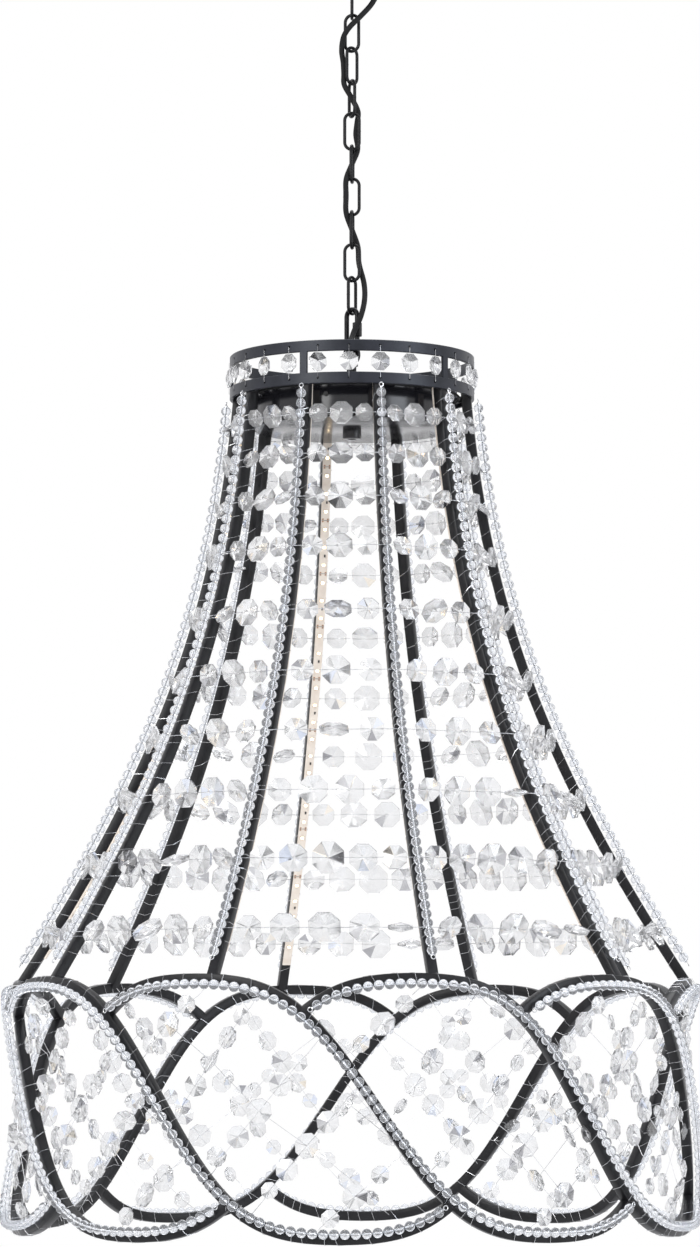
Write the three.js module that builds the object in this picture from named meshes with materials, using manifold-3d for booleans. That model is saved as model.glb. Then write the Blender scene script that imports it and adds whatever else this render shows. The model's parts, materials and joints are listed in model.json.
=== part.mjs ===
// Beaded bell chandelier on a chain, hanging from a ceiling canopy.
// Lengths are millimetres, angles are degrees, +Z is up and the ceiling is the plane z = 0.
// Angles round the axis start at the front, on -Y, and grow towards +X.
import * as THREE from 'three';
import { mergeVertices } from 'three/addons/utils/BufferGeometryUtils.js';
import Module from 'manifold-3d';

const wasm = await Module();
wasm.setup();

// Clearances that every fit uses
const gap = 0.3;
const overrun = 1;

// Facets of round shapes
const wireSides = 5;
const ringSides = 12;
const smallTurnSides = 10;
const largeTurnSides = 30;

// Ceiling canopy
const canopyRadius = 55;
const canopyFaceRadius = 44;
const canopyHeight = 31;
const canopyWall = 1.5;
const crossbarEndGap = 5.5;
const crossbarWidth = 18;
const crossbarThickness = 2.5;
const crossbarSlotLength = 14;
const crossbarSlotWidth = 4.5;
const crossbarSlotInset = 8;
const couplerRadius = 7;
const couplerLength = 13;
const loopStemRadius = 4;
const loopCollarRadius = 9;
const loopCollarHeight = 3;
const loopWire = 4;
const loopInnerRadius = 5;

// Chain
const linkCount = 10;
const linkWire = 3;
const linkInnerLength = 30.8;
const linkInnerWidth = 10.3;
const linkTurns = [-90, -22, 46, 112, 178, 262, 352, 82, 172, 60];

// Quick link that hooks the chain to the lamp
const quickWire = 4.5;
const quickInnerLength = 34;
const quickInnerWidth = 9;
const quickTurn = -45;
const quickMouth = 6.5;
const quickMouthDrop = 2.25;
const sleeveRadius = 4;
const sleeveLength = 13;

// Lifting eye and its stud
const eyeRod = 5;
const eyeInnerRadius = 5;
const eyeTurn = 45;
const studRadius = 4;
const studNutRadius = 8;
const studNutHeight = 5;
const eyeToHoopDrop = 33;

// Crown of two hoops on posts
const hoopRadius = 111.5;
const hoopThickness = 3;
const hoopHeight = 10;
const hoopSpacing = 29;
const postCount = 5;
const postWidth = 7;
const crossWidth = 14;
const crossThickness = 4;
const crossDrop = 3;
const crossTurn = 22;

// Drum under the crown, with the drivers for the light strips
const drumRadius = 90;
const drumHeight = 27.7;
const drumWall = 1.6;
const coverThickness = 2;
const coverNutRadius = 8.5;
const coverNutHeight = 8;
const driverLength = 96;
const driverWidth = 34;
const driverHeight = 19;
const driverOffset = 34;

// Bell of curved ribs
const ribCount = 10;
const firstRibAngle = 13;
const barSize = 9;
const bandRadius = 301;
const bellHeight = 541;
const ribTopPullShare = 0.355;
const ribTopFlareShare = 0.076;
const ribFootPullShare = 0.366;
const ribFootReachShare = 0.655;
const ribSteps = 8;

// Band of interlaced waves at the rim
const waveAmplitude = 108.5;
const waveRoundingShare = 0.085;
const waveApexAngle = -3;
const waveHalfTurn = 60;
const wavePhases = [-54, -27, 0, 27, 54, 78, 102, 126, 153, 180, 207, 234];
const upperMeetingPhases = [27, 54, 78];
const lowerMeetingPhases = [102, 126, 153];

// Bead strands on the outer faces of ribs and waves
const beadRadius = 4;
const strandSides = 4;
const strandFootShare = 1.007;

// Rows of octagonal crystals on wires between the ribs
const wireThickness = 1.2;
const rowDropShares = [0.067, 0.135, 0.207, 0.29, 0.397, 0.499, 0.598, 0.697, 0.808, 0.92];
const rowCrystalCounts = [3, 3, 3, 3, 3, 3, 3, 4, 5, 5];
const topSmallCrystal = 14.5;
const topLargeCrystal = 21;
const lowSmallCrystal = 21;
const lowLargeCrystal = 28;
const crystalThicknessShare = 0.42;
const octagonFlatShare = 0.414;
const sectionHalfHeightShare = Math.sqrt(3) / 2;
const sectionDepthShare = 2 / 3;

// Net of crystals in the openings of the band: strings that run up and down between the phases of
// an opening's lower and upper wave, bare at their lower and upper ends, on one wire that is tied
// behind the waves
const netPhases = [[74, 8], [95, 34], [114, 64], [135, 82], [165, 104]];
const netCrystalCounts = [3, 5, 5, 5, 3];
const netBareWires = [[9, 20], [9, 20], [9, 20], [20, 9], [12, 17]];
const netSmallCrystal = 13;
const netLargeCrystal = 21;

// Light strips on the inner faces of two opposite ribs, and the wire round the drum that feeds them
const stripCount = 2;
const stripWidth = 8;
const stripThickness = 2.4;
const stripTopShare = 0.015;
const stripFootShare = 0.955;
const feedShare = 0.02;
const feedWireRadius = 1.3;

// Supply cord, woven through the chain
const cordRadius = 2.5;
const cordSides = 8;
const cordStepShare = 2.6;
const gripRadius = 7;
const gripHeight = 13;
const gripOffset = 26;
const glandRadius = 9;
const glandHeight = 11;
const glandOffset = 42;
const glandAngle = -3;

// Sizes and heights that follow from the sizes above
const crossbarLength = 2 * (canopyRadius - canopyWall - crossbarEndGap);
const loopRadius = loopInnerRadius + loopWire / 2;
const loopCentre = -canopyHeight - gap - loopCollarHeight - loopInnerRadius;
const loopHook = loopCentre - loopRadius;
const linkPitch = linkInnerLength - gap;
const firstLinkCentre = loopHook + loopWire / 2 + gap - linkInnerLength / 2;
const lastLinkHook = firstLinkCentre - (linkCount - 1) * linkPitch - (linkInnerLength + linkWire) / 2;
const quickCentre = lastLinkHook + linkWire / 2 + gap - quickInnerLength / 2;
const quickHook = quickCentre - (quickInnerLength + quickWire) / 2;
const eyeRadius = eyeInnerRadius + eyeRod / 2;
const eyeCentre = quickHook + quickWire / 2 + gap - eyeInnerRadius;
const hoopTop = eyeCentre - eyeToHoopDrop;
const crossTop = hoopTop - crossDrop;
const drumTop = crossTop - crossThickness - gap;
const drumBottom = drumTop - drumHeight;
const coverTop = drumBottom - gap;
const coverNutTop = coverTop - coverThickness - gap;
const bandApex = hoopTop - bellHeight;
const bandMiddle = bandApex - waveAmplitude;
const hoopInnerRadius = hoopRadius - hoopThickness;
const ribTopRadius = hoopInnerRadius - gap - barSize / 2;
const ribReach = bandRadius - ribTopRadius;
const wireOffset = barSize / 2 + gap + wireThickness / 2;
const netEndOffset = wireOffset + wireThickness / 2;
const strandOffset = wireOffset + wireThickness / 2 + gap + beadRadius;

// Finishes
const satinBlack = { color: 0x17181b, roughness: 0.42, metalness: 0.6 };
const blackSteel = { color: 0x1d1e21, roughness: 0.35, metalness: 0.8 };
const zincSteel = { color: 0xb9bcc0, roughness: 0.4, metalness: 0.9 };
const blackPlastic = { color: 0x111113, roughness: 0.6, metalness: 0 };
const cordBlack = { color: 0x141415, roughness: 0.85, metalness: 0 };
const driverWhite = { color: 0xe4e4df, roughness: 0.5, metalness: 0 };
const clearGlass = { color: 0xdbe6ee, roughness: 0.08, metalness: 0 };
const beadGlass = { color: 0xcdd8e2, roughness: 0.12, metalness: 0 };
const warmLight = { color: 0xf0cfa4, roughness: 0.5, metalness: 0 };

const group = new THREE.Group();
const up = new THREE.Vector3(0, 0, 1);
const radians = THREE.MathUtils.degToRad;
const small = 1e-3;

// Outward direction at an angle round the axis
function outward(angle) {
  return new THREE.Vector3(Math.sin(radians(angle)), -Math.cos(radians(angle)), 0);
}

// Horizontal direction of the plane that a link or ring lies in
function planeDirection(turn) {
  return new THREE.Vector3(Math.cos(radians(turn)), Math.sin(radians(turn)), 0);
}

function add(name, geometry, finish, turn = 0) {
  const mesh = new THREE.Mesh(geometry, new THREE.MeshStandardMaterial(finish));
  mesh.name = name;
  mesh.rotation.z = radians(turn);
  group.add(mesh);
}

function numbered(name, index) {
  return `${name}_${String(index + 1).padStart(2, '0')}`;
}

function welded(geometry) {
  const bare = geometry.index ? geometry.toNonIndexed() : geometry.clone();
  bare.deleteAttribute('normal');
  bare.deleteAttribute('uv');
  return mergeVertices(bare);
}

function toSolid(geometry) {
  const bare = welded(geometry);
  const vertProperties = Float32Array.from(bare.attributes.position.array);
  const triVerts = Uint32Array.from(bare.index.array);
  return new wasm.Manifold(new wasm.Mesh({ numProp: 3, vertProperties, triVerts }));
}

function toGeometry(solid) {
  const mesh = solid.getMesh();
  const geometry = new THREE.BufferGeometry();
  geometry.setAttribute('position', new THREE.BufferAttribute(mesh.vertProperties, 3));
  geometry.setIndex(new THREE.BufferAttribute(mesh.triVerts, 1));
  return geometry;
}

function joined(...geometries) {
  return toGeometry(geometries.map(toSolid).reduce((sum, next) => sum.add(next)));
}

function cut(geometry, ...cutters) {
  return toGeometry(cutters.map(toSolid).reduce((rest, next) => rest.subtract(next), toSolid(geometry)));
}

function trimmed(geometry, outline) {
  return toGeometry(toSolid(geometry).intersect(toSolid(outline)));
}

function turned(geometry, angle) {
  return geometry.clone().rotateZ(radians(angle));
}

// Upright cylinder between two heights
function rod(radius, top, bottom, sides = smallTurnSides) {
  const height = top - bottom;
  return new THREE.CylinderGeometry(radius, radius, height, sides)
    .rotateX(Math.PI / 2)
    .translate(0, 0, bottom + height / 2);
}

function block(length, width, top, bottom) {
  return new THREE.BoxGeometry(length, width, top - bottom).translate(0, 0, (top + bottom) / 2);
}

// Closed outline of [radius, height] points turned round the axis
function revolved(outline, sides) {
  const points = outline.map(([radius, height]) => new THREE.Vector2(radius, height));
  points.push(points[0].clone());
  return welded(new THREE.LatheGeometry(points, sides).rotateX(Math.PI / 2));
}

function sleeve(outerRadius, innerRadius, top, bottom, sides) {
  return revolved([
    [innerRadius, bottom],
    [outerRadius, bottom],
    [outerRadius, top],
    [innerRadius, top],
  ], sides);
}

// Lays a straight unit-long shape, modelled from z = 0 to 1, along a route.
// The route gives the place and the directions of the shape's x and y at each share of its length.
function laid(geometry, route) {
  const position = geometry.attributes.position;
  for (let i = 0; i < position.count; i += 1) {
    const { at, x, y } = route(position.getZ(i));
    const point = at.clone().addScaledVector(x, position.getX(i)).addScaledVector(y, position.getY(i));
    position.setXYZ(i, point.x, point.y, point.z);
  }
  return welded(geometry);
}

function straightBar(width, depth, steps) {
  return new THREE.BoxGeometry(width, depth, 1, 1, 1, steps).translate(0, 0, 1 / 2);
}

function straightRod(radius, sides, steps, open = false) {
  return new THREE.CylinderGeometry(radius, radius, 1, sides, steps, open)
    .rotateX(Math.PI / 2)
    .translate(0, 0, 1 / 2);
}

// Oval ring of wire standing on the axis, its long way up
function ovalRing(wire, innerLength, innerWidth, centre, turn) {
  const bendSteps = 5;
  const stations = 2 * (bendSteps + 1);
  const bendRadius = (innerWidth + wire) / 2;
  const rise = (innerLength + wire) / 2 - bendRadius;
  const across = planeDirection(turn);
  const route = (share) => {
    const station = Math.round(share * stations) % stations;
    const lower = station > bendSteps;
    const angle = (Math.PI * (lower ? station - 1 : station)) / bendSteps;
    const ray = across.clone().multiplyScalar(Math.cos(angle)).addScaledVector(up, Math.sin(angle));
    const at = ray.clone().multiplyScalar(bendRadius);
    at.z += centre + (lower ? -rise : rise);
    return { at, x: ray, y: up.clone().cross(across) };
  };
  return laid(straightRod(wire / 2, wireSides, stations, true), route);
}

// Round ring of wire standing on the axis
function roundRing(wire, innerRadius, centre, turn) {
  return new THREE.TorusGeometry(innerRadius + wire / 2, wire / 2, wireSides, ringSides)
    .rotateX(Math.PI / 2)
    .rotateZ(radians(turn))
    .translate(0, 0, centre);
}

// Canopy cup with holes for the loop stem and the cord grip
function canopyCup() {
  const floor = -canopyHeight;
  const cup = revolved([
    [loopStemRadius + gap, floor],
    [canopyFaceRadius, floor],
    [canopyRadius - canopyWall, floor / 2],
    [canopyRadius, 0],
    [canopyRadius - canopyWall, 0],
    [canopyRadius - canopyWall - canopyWall, floor / 2],
    [canopyFaceRadius - canopyWall, floor + canopyWall],
    [loopStemRadius + gap, floor + canopyWall],
  ], largeTurnSides);
  const gripHole = rod(gripRadius / 2 + gap, floor + canopyWall + overrun, floor - overrun)
    .translate(gripOffset, 0, 0);
  return cut(cup, gripHole);
}

function ceilingCrossbar() {
  const bar = block(crossbarWidth, crossbarLength, 0, -crossbarThickness);
  const couplerFoot = -crossbarThickness - couplerLength;
  const coupler = rod(couplerRadius, -crossbarThickness / 2, couplerFoot, 6);
  const bore = rod(loopStemRadius + gap, -crossbarThickness - gap, couplerFoot - overrun);
  const slotReach = crossbarLength / 2 - crossbarSlotInset - crossbarSlotLength / 2;
  const slot = block(crossbarSlotWidth, crossbarSlotLength, overrun, -crossbarThickness - overrun);
  return cut(
    joined(bar, coupler),
    bore,
    slot.clone().translate(0, slotReach, 0),
    slot.clone().translate(0, -slotReach, 0),
  );
}

function canopyLoop() {
  const collarTop = -canopyHeight - gap;
  const stem = rod(loopStemRadius, -crossbarThickness - couplerLength / 2, collarTop - loopCollarHeight / 2);
  const collar = rod(loopCollarRadius, collarTop, collarTop - loopCollarHeight);
  return joined(stem, collar, roundRing(loopWire, loopInnerRadius, loopCentre, 0));
}

// Cord grip: a flanged bush through the canopy's face
function cordGrip() {
  const face = -canopyHeight;
  const neck = gripRadius / 2;
  const bore = cordRadius + gap;
  const flangeTop = face - gap;
  const flangeBottom = flangeTop - (gripHeight - neck) / 2;
  return revolved([
    [bore, flangeBottom],
    [gripRadius, flangeBottom],
    [gripRadius, flangeTop],
    [neck, flangeTop],
    [neck, flangeBottom + gripHeight],
    [bore, flangeBottom + gripHeight],
  ], smallTurnSides).translate(gripOffset, 0, 0);
}

// Quick link: an oval of rod with a mouth in one leg, closed by a sleeve that slides on the leg
function quickLink() {
  const ring = ovalRing(quickWire, quickInnerLength, quickInnerWidth, quickCentre, quickTurn);
  const leg = planeDirection(quickTurn).multiplyScalar((quickInnerWidth + quickWire) / 2);
  const mouthTop = quickCentre + quickMouth / 2 - quickMouthDrop;
  const mouth = block(quickWire + overrun, quickWire + overrun, mouthTop, mouthTop - quickMouth)
    .translate(leg.x, leg.y, 0);
  return cut(ring, mouth);
}

function quickLinkSleeve() {
  const leg = planeDirection(quickTurn).multiplyScalar((quickInnerWidth + quickWire) / 2);
  const half = sleeveLength / 2;
  return sleeve(sleeveRadius, quickWire / 2 + gap, quickCentre + half, quickCentre - half, smallTurnSides)
    .translate(leg.x, leg.y, 0);
}

// Lifting eye with the stud that carries crown, drum and cover nut
function liftingEye() {
  const ring = roundRing(eyeRod, eyeInnerRadius, eyeCentre, eyeTurn);
  const stud = rod(studRadius, eyeCentre - eyeRadius, coverNutTop - coverNutHeight + overrun);
  const nut = rod(studNutRadius, crossTop + gap + studNutHeight, crossTop + gap, 6);
  return joined(ring, stud, nut);
}

// Cross of flat bars, trimmed to seat inside the lower hoop
function hangerCross() {
  const crossBottom = crossTop - crossThickness;
  const bar = block(2 * hoopInnerRadius, crossWidth, crossTop, crossBottom);
  const hub = rod(crossWidth, crossTop, crossBottom);
  const hole = rod(studRadius + gap, crossTop + overrun, crossBottom - overrun);
  const seat = rod(hoopInnerRadius - gap, crossTop + overrun, crossBottom - overrun, largeTurnSides);
  const cross = joined(bar, turned(bar, 90), hub).rotateZ(radians(crossTurn));
  return cut(trimmed(cross, seat), hole);
}

// Place of the gland on the drum's top
function glandPlace() {
  return outward(glandAngle).multiplyScalar(glandOffset);
}

function driverHousing() {
  const drum = revolved([
    [studRadius + gap, drumTop - drumWall],
    [drumRadius - drumWall, drumTop - drumWall],
    [drumRadius - drumWall, drumBottom],
    [drumRadius, drumBottom],
    [drumRadius, drumTop],
    [studRadius + gap, drumTop],
  ], largeTurnSides);
  const place = glandPlace();
  const hole = rod(glandRadius / 2 + gap, drumTop + overrun, drumTop - drumWall - overrun)
    .translate(place.x, place.y, 0);
  return cut(drum, hole);
}

// Gland that takes the cord into the drum
function cordGland() {
  const bore = cordRadius + gap;
  const neck = glandRadius / 2;
  const seat = drumTop + gap;
  const place = glandPlace();
  return revolved([
    [bore, seat - neck],
    [neck, seat - neck],
    [neck, seat],
    [glandRadius, seat],
    [glandRadius, seat + glandHeight / 2],
    [neck + gap, seat + glandHeight],
    [bore, seat + glandHeight],
  ], smallTurnSides).translate(place.x, place.y, 0);
}

function housingCover() {
  return sleeve(drumRadius, studRadius + gap, coverTop, coverTop - coverThickness, largeTurnSides);
}

function coverNut() {
  const bottom = coverNutTop - coverNutHeight;
  const chamfer = coverNutHeight / 4;
  return revolved([
    [studRadius + gap, bottom],
    [coverNutRadius - chamfer, bottom],
    [coverNutRadius, bottom + chamfer],
    [coverNutRadius, coverNutTop],
    [studRadius + gap, coverNutTop],
  ], smallTurnSides);
}

function driverBox(side) {
  const top = drumTop - drumWall - gap;
  return block(driverWidth, driverLength, top, top - driverHeight).translate(side * driverOffset, 0, 0);
}

// Crown: two hoops joined by posts
function crownRing() {
  const hoop = sleeve(hoopRadius, hoopInnerRadius, hoopTop, hoopTop - hoopHeight, largeTurnSides);
  const upperHoop = hoop.clone().translate(0, 0, hoopSpacing);
  const posts = Array.from({ length: postCount }, (_, i) => {
    const angle = firstRibAngle + 360 / ribCount + (360 / postCount) * i;
    const middle = outward(angle).multiplyScalar(hoopRadius - hoopThickness / 2);
    return block(postWidth, hoopThickness, hoopTop + hoopSpacing - hoopHeight / 2, hoopTop - hoopHeight / 2)
      .rotateZ(radians(angle))
      .translate(middle.x, middle.y, 0);
  });
  return joined(hoop, upperHoop, ...posts);
}

// Centre line of a rib in its own upright plane, from the crown to the band
const ribCurve = new THREE.CubicBezierCurve(
  new THREE.Vector2(ribTopRadius, hoopTop),
  new THREE.Vector2(ribTopRadius + ribReach * ribTopFlareShare, hoopTop - bellHeight * ribTopPullShare),
  new THREE.Vector2(bandRadius - ribReach * ribFootReachShare, bandApex + bellHeight * ribFootPullShare),
  new THREE.Vector2(bandRadius, bandApex),
);

// Frame at a share of a rib's centre line, moved outwards from it
function ribFrame(angle, offset, share) {
  const out = outward(angle);
  const middle = ribCurve.getPoint(share);
  const along = ribCurve.getPoint(share + small).sub(ribCurve.getPoint(share - small)).normalize();
  const x = out.clone().multiplyScalar(-along.y).addScaledVector(up, along.x);
  const at = out.clone().multiplyScalar(middle.x).addScaledVector(up, middle.y).addScaledVector(x, offset);
  const direction = out.clone().multiplyScalar(along.x).addScaledVector(up, along.y);
  return { at, x, y: direction.cross(x) };
}

// Route beside a rib in its straight steps, with its ends moved to the shares from and to
function ribRoute(angle, offset, from = 0, to = 1) {
  return (share) => {
    const t = share <= 0 ? from : share >= 1 ? to : share;
    const step = THREE.MathUtils.clamp(Math.floor(t * ribSteps), 0, ribSteps - 1);
    const start = ribFrame(angle, offset, step / ribSteps);
    const end = ribFrame(angle, offset, (step + 1) / ribSteps);
    const part = t * ribSteps - step;
    return { at: start.at.lerp(end.at, part), x: start.x.lerp(end.x, part), y: start.y.lerp(end.y, part) };
  };
}

// Height of a wave's centre line at a phase, with rounded tops and troughs
function waveHeight(phase) {
  const p = radians(phase);
  const swing = (Math.cos(p) - waveRoundingShare * Math.cos(3 * p)) / (1 - waveRoundingShare);
  return bandMiddle + waveAmplitude * swing;
}

// Place at a phase on a wave, at a radius
function wavePlace(ribAngle, radius, phase) {
  const angle = ribAngle + waveApexAngle + (phase / 180) * waveHalfTurn;
  return outward(angle).multiplyScalar(radius).setZ(waveHeight(phase));
}

// Route along a wave of the band, in straight steps between the phases, on a cylinder
function waveRoute(ribAngle, radius, phases) {
  return (share) => {
    const phase = phases[Math.round(share * (phases.length - 1))];
    const at = wavePlace(ribAngle, radius, phase);
    const before = wavePlace(ribAngle, radius, phase - small);
    const along = wavePlace(ribAngle, radius, phase + small).sub(before).normalize();
    const x = at.clone().setZ(0).normalize();
    return { at, x, y: along.cross(x) };
  };
}

// Place at a phase on a wire behind a wave, which follows the straight steps of the bar
function behindWave(ribAngle, phase, offset = wireOffset) {
  const next = wavePhases.findIndex((end) => end > phase);
  const start = wavePhases[next - 1];
  const part = (phase - start) / (wavePhases[next] - start);
  const from = wavePlace(ribAngle, bandRadius - offset, start);
  return from.lerp(wavePlace(ribAngle, bandRadius - offset, wavePhases[next]), part);
}

// Bar along a wave: depth is its radial size and width its size across the bar
function waveBar(ribAngle, offset, depth, width, phases) {
  const bar = straightBar(depth, width, phases.length - 1);
  return laid(bar, waveRoute(ribAngle, bandRadius + offset, phases));
}

// The stretches of the two neighbouring waves that this wave's ends meet
function neighbourCutters(ribAngle, offset, size) {
  const pitch = 360 / ribCount;
  const depth = 2 * size;
  const width = size + 2 * gap;
  return [
    waveBar(ribAngle - pitch, offset, depth, width, upperMeetingPhases),
    waveBar(ribAngle + pitch, offset, depth, width, lowerMeetingPhases),
  ];
}

// Frame arm: one rib, seated inside the lower hoop, with the wave that sweeps away from its foot
function frameArm(angle) {
  const rib = laid(straightBar(barSize, barSize, ribSteps), ribRoute(angle, 0));
  const arm = joined(rib, waveBar(angle, 0, barSize, barSize, wavePhases));
  const seatTop = hoopTop + overrun;
  const seatBottom = hoopTop - hoopHeight - gap;
  const seat = sleeve(hoopRadius + overrun, hoopInnerRadius - gap, seatTop, seatBottom, largeTurnSides);
  return cut(arm, seat, ...neighbourCutters(angle, 0, barSize));
}

// Strand of beads down a rib and on along its wave
function beadStrand(angle) {
  const top = hoopHeight / bellHeight;
  const rope = straightRod(beadRadius, strandSides, ribSteps);
  const down = laid(rope, ribRoute(angle, strandOffset, top, strandFootShare));
  const along = laid(
    straightRod(beadRadius, strandSides, wavePhases.length - 1),
    waveRoute(angle, bandRadius + strandOffset, wavePhases),
  );
  return cut(joined(down, along), ...neighbourCutters(angle, strandOffset, 2 * beadRadius));
}

// Radius at a height of the line beside a rib's outer face
function radiusBeside(offset, height) {
  const route = ribRoute(0, offset);
  let above = 0;
  let below = 1;
  for (let i = 0; i < 30; i += 1) {
    const middle = (above + below) / 2;
    if (route(middle).at.z > height) {
      above = middle;
    } else {
      below = middle;
    }
  }
  return -route(above).at.y;
}

// Widths of the crystals on a string, largest in the middle
function crystalWidths(count, least, most) {
  return Array.from({ length: count }, (_, i) => {
    const bulge = Math.sin((Math.PI * (i + 1 / 2)) / count);
    return least + (most - least) * bulge * bulge;
  });
}

// Widths of the crystals in one bay of a row
function rowWidths(row) {
  const down = row / (rowDropShares.length - 1);
  const least = THREE.MathUtils.lerp(topSmallCrystal, lowSmallCrystal, down);
  const most = THREE.MathUtils.lerp(topLargeCrystal, lowLargeCrystal, down);
  return crystalWidths(rowCrystalCounts[row], least, most);
}

// Frame of a string's three-sided section at a place, with half its height across the string
function stringFrame(at, across, half) {
  const depth = Math.max(2 * half * crystalThicknessShare, wireThickness);
  const out = at.clone().setZ(0).normalize();
  return {
    at: at.clone().addScaledVector(out, depth * (sectionDepthShare - 1 / 2)),
    x: across.clone().multiplyScalar(half / sectionHalfHeightShare),
    y: out.multiplyScalar(depth * sectionDepthShare),
  };
}

// Stations of one bay's string: distance along it and its half height there
function bayStations(row, length) {
  const widths = rowWidths(row);
  const wire = wireThickness / 2;
  const space = (length - widths.reduce((sum, width) => sum + width, 0)) / (widths.length + 1);
  const stations = [{ along: 0, half: wire }];
  let start = space;
  widths.forEach((width, i) => {
    const shoulder = (width * (1 - octagonFlatShare)) / 2;
    const last = i === widths.length - 1;
    stations.push({ along: start + shoulder, half: width / 2 });
    stations.push({ along: start + width - shoulder, half: width / 2 });
    stations.push({ along: last ? length : start + width + space / 2, half: wire });
    start += width + space;
  });
  return stations;
}

// Ring of crystals on a wire that passes over every rib
function crystalRow(row) {
  const height = hoopTop - bellHeight * rowDropShares[row];
  const radius = radiusBeside(wireOffset, height);
  const pitch = 360 / ribCount;
  const besideRib = (angle, side) => outward(angle).multiplyScalar(radius)
    .addScaledVector(outward(angle + 90), side * barSize / 2)
    .setZ(height);
  const bay = bayStations(row, besideRib(0, 1).distanceTo(besideRib(pitch, -1)));
  const total = bay.length * ribCount;
  const route = (share) => {
    const step = Math.round(share * total) % total;
    const angle = firstRibAngle + pitch * Math.floor(step / bay.length);
    const { along, half } = bay[step % bay.length];
    const from = besideRib(angle, 1);
    const to = besideRib(angle + pitch, -1);
    return stringFrame(from.clone().lerp(to, along / from.distanceTo(to)), up, half);
  };
  return laid(straightRod(1, 3, total, true), route);
}

// String of crystals between two places behind the waves, brought out to the bars' middle between them
function netString([from, to], [bareStart, bareEnd], count) {
  const length = from.distanceTo(to);
  const widths = crystalWidths(count, netSmallCrystal, netLargeCrystal);
  const total = widths.reduce((sum, width) => sum + width, 0);
  const space = (length - bareStart - bareEnd - total) / widths.length;
  const wire = wireThickness / 2;
  const station = (along, half, radius) => {
    const at = from.clone().lerp(to, along / length);
    const height = at.z;
    return { at: at.setZ(0).setLength(radius).setZ(height), half };
  };
  const stations = [{ at: from, half: wire }, station(bareStart, wire, from.clone().setZ(0).length())];
  let start = bareStart + space / 2;
  widths.forEach((width, i) => {
    stations.push(station(start + width / 2, width / 2, bandRadius));
    start += width + space;
    if (i < widths.length - 1) {
      stations.push(station(start - space / 2, wire, bandRadius));
    }
  });
  stations.push(station(length - bareEnd, wire, to.clone().setZ(0).length()), { at: to, half: wire });
  return stations;
}

// Corners that the wire behind a wave passes between two phases
function tieStations(ribAngle, fromPhase, toPhase) {
  const least = Math.min(fromPhase, toPhase);
  const most = Math.max(fromPhase, toPhase);
  const corners = wavePhases.filter((phase) => phase > least && phase < most);
  if (toPhase < fromPhase) {
    corners.reverse();
  }
  return corners.map((phase) => ({ at: behindWave(ribAngle, phase), half: wireThickness / 2 }));
}

// Net in one opening: one wire up and down between the waves of two neighbouring ribs.
// Its two ends cross the wires of the nets beside it.
function openingNet(angle) {
  const next = angle + 360 / ribCount;
  const lastString = netPhases.length - 1;
  const stations = [];
  netPhases.forEach(([lowerPhase, upperPhase], i) => {
    const lower = behindWave(angle, lowerPhase, i === 0 ? netEndOffset : wireOffset);
    const upper = behindWave(next, upperPhase, i === lastString ? netEndOffset : wireOffset);
    const upward = i % 2 === 0;
    const ends = upward ? [lower, upper] : [upper, lower];
    const bare = upward ? netBareWires[i] : netBareWires[i].toReversed();
    stations.push(...netString(ends, bare, netCrystalCounts[i]));
    if (i < lastString) {
      const [lowerTie, upperTie] = netPhases[i + 1];
      const tie = upward ? [next, upperPhase, upperTie] : [angle, lowerPhase, lowerTie];
      stations.push(...tieStations(...tie));
    }
  });
  const last = stations.length - 1;
  const route = (share) => {
    const step = Math.round(share * last);
    const before = stations[Math.max(step - 1, 0)].at;
    const after = stations[Math.min(step + 1, last)].at;
    const { at, half } = stations[step];
    return stringFrame(at, at.clone().setZ(0).cross(after.clone().sub(before)).normalize(), half);
  };
  return laid(straightRod(1, 3, last), route);
}

// Nets of crystals round the whole band
function rimCrystals() {
  const net = openingNet(firstRibAngle);
  const turns = Array.from({ length: ribCount }, (_, i) => (360 / ribCount) * i);
  return joined(...turns.map((turn) => turned(net, turn)));
}

// Light strips on the inner faces of opposite ribs, on the ring of wire that feeds them
function ledStrips() {
  const offset = -(barSize + stripThickness) / 2 - gap;
  const strips = Array.from({ length: stripCount }, (_, i) => {
    const angle = firstRibAngle + (360 / stripCount) * i;
    const bar = straightBar(stripThickness, stripWidth, ribSteps);
    return laid(bar, ribRoute(angle, offset, stripTopShare, stripFootShare));
  });
  const feed = ribRoute(0, offset)(feedShare).at;
  const ring = new THREE.TorusGeometry(-feed.y - stripThickness / 2, feedWireRadius, 3, 2 * ribCount)
    .rotateZ(radians(firstRibAngle))
    .translate(0, 0, feed.z);
  return joined(welded(ring), ...strips);
}

// Points of the supply cord, from the canopy's grip down through the chain to the drum's gland
function cordPoints() {
  const gland = glandPlace();
  return [
    [gripOffset, 0, -26],
    [gripOffset, 0, -37],
    [24.6, -0.8, -49],
    [18.4, -4.6, -63],
    [8, -9.4, -76],
    [-2, -9, -86],
    [-7.5, -5, -94],
    [-9.4, -0.5, -106],
    [-8, 0, -117],
    [-7.4, -0.6, -128],
    [-7.1, -1.2, -138],
    [0, 0, -150.9],
    [5.6, 3.4, -163],
    [4.6, 5.2, -173],
    [3.6, 6, -183],
    [5.2, 4.6, -197],
    [0, 0, -211.9],
    [-5.3, -4.6, -227],
    [-5.4, -4.6, -242],
    [-5.3, -4.4, -258],
    [0, 0, -272.9],
    [5.4, 4.4, -288],
    [6.4, 5, -303],
    [11, 3, -322],
    [11.5, -4, -338],
    [8, -12, -355],
    [1, -17, -372],
    [-1.6, -35.5, -390],
    [gland.x, gland.y, -410],
    [gland.x, gland.y, -418],
    [gland.x, gland.y, -426],
  ].map(([x, y, z]) => new THREE.Vector3(x, y, z));
}

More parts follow.
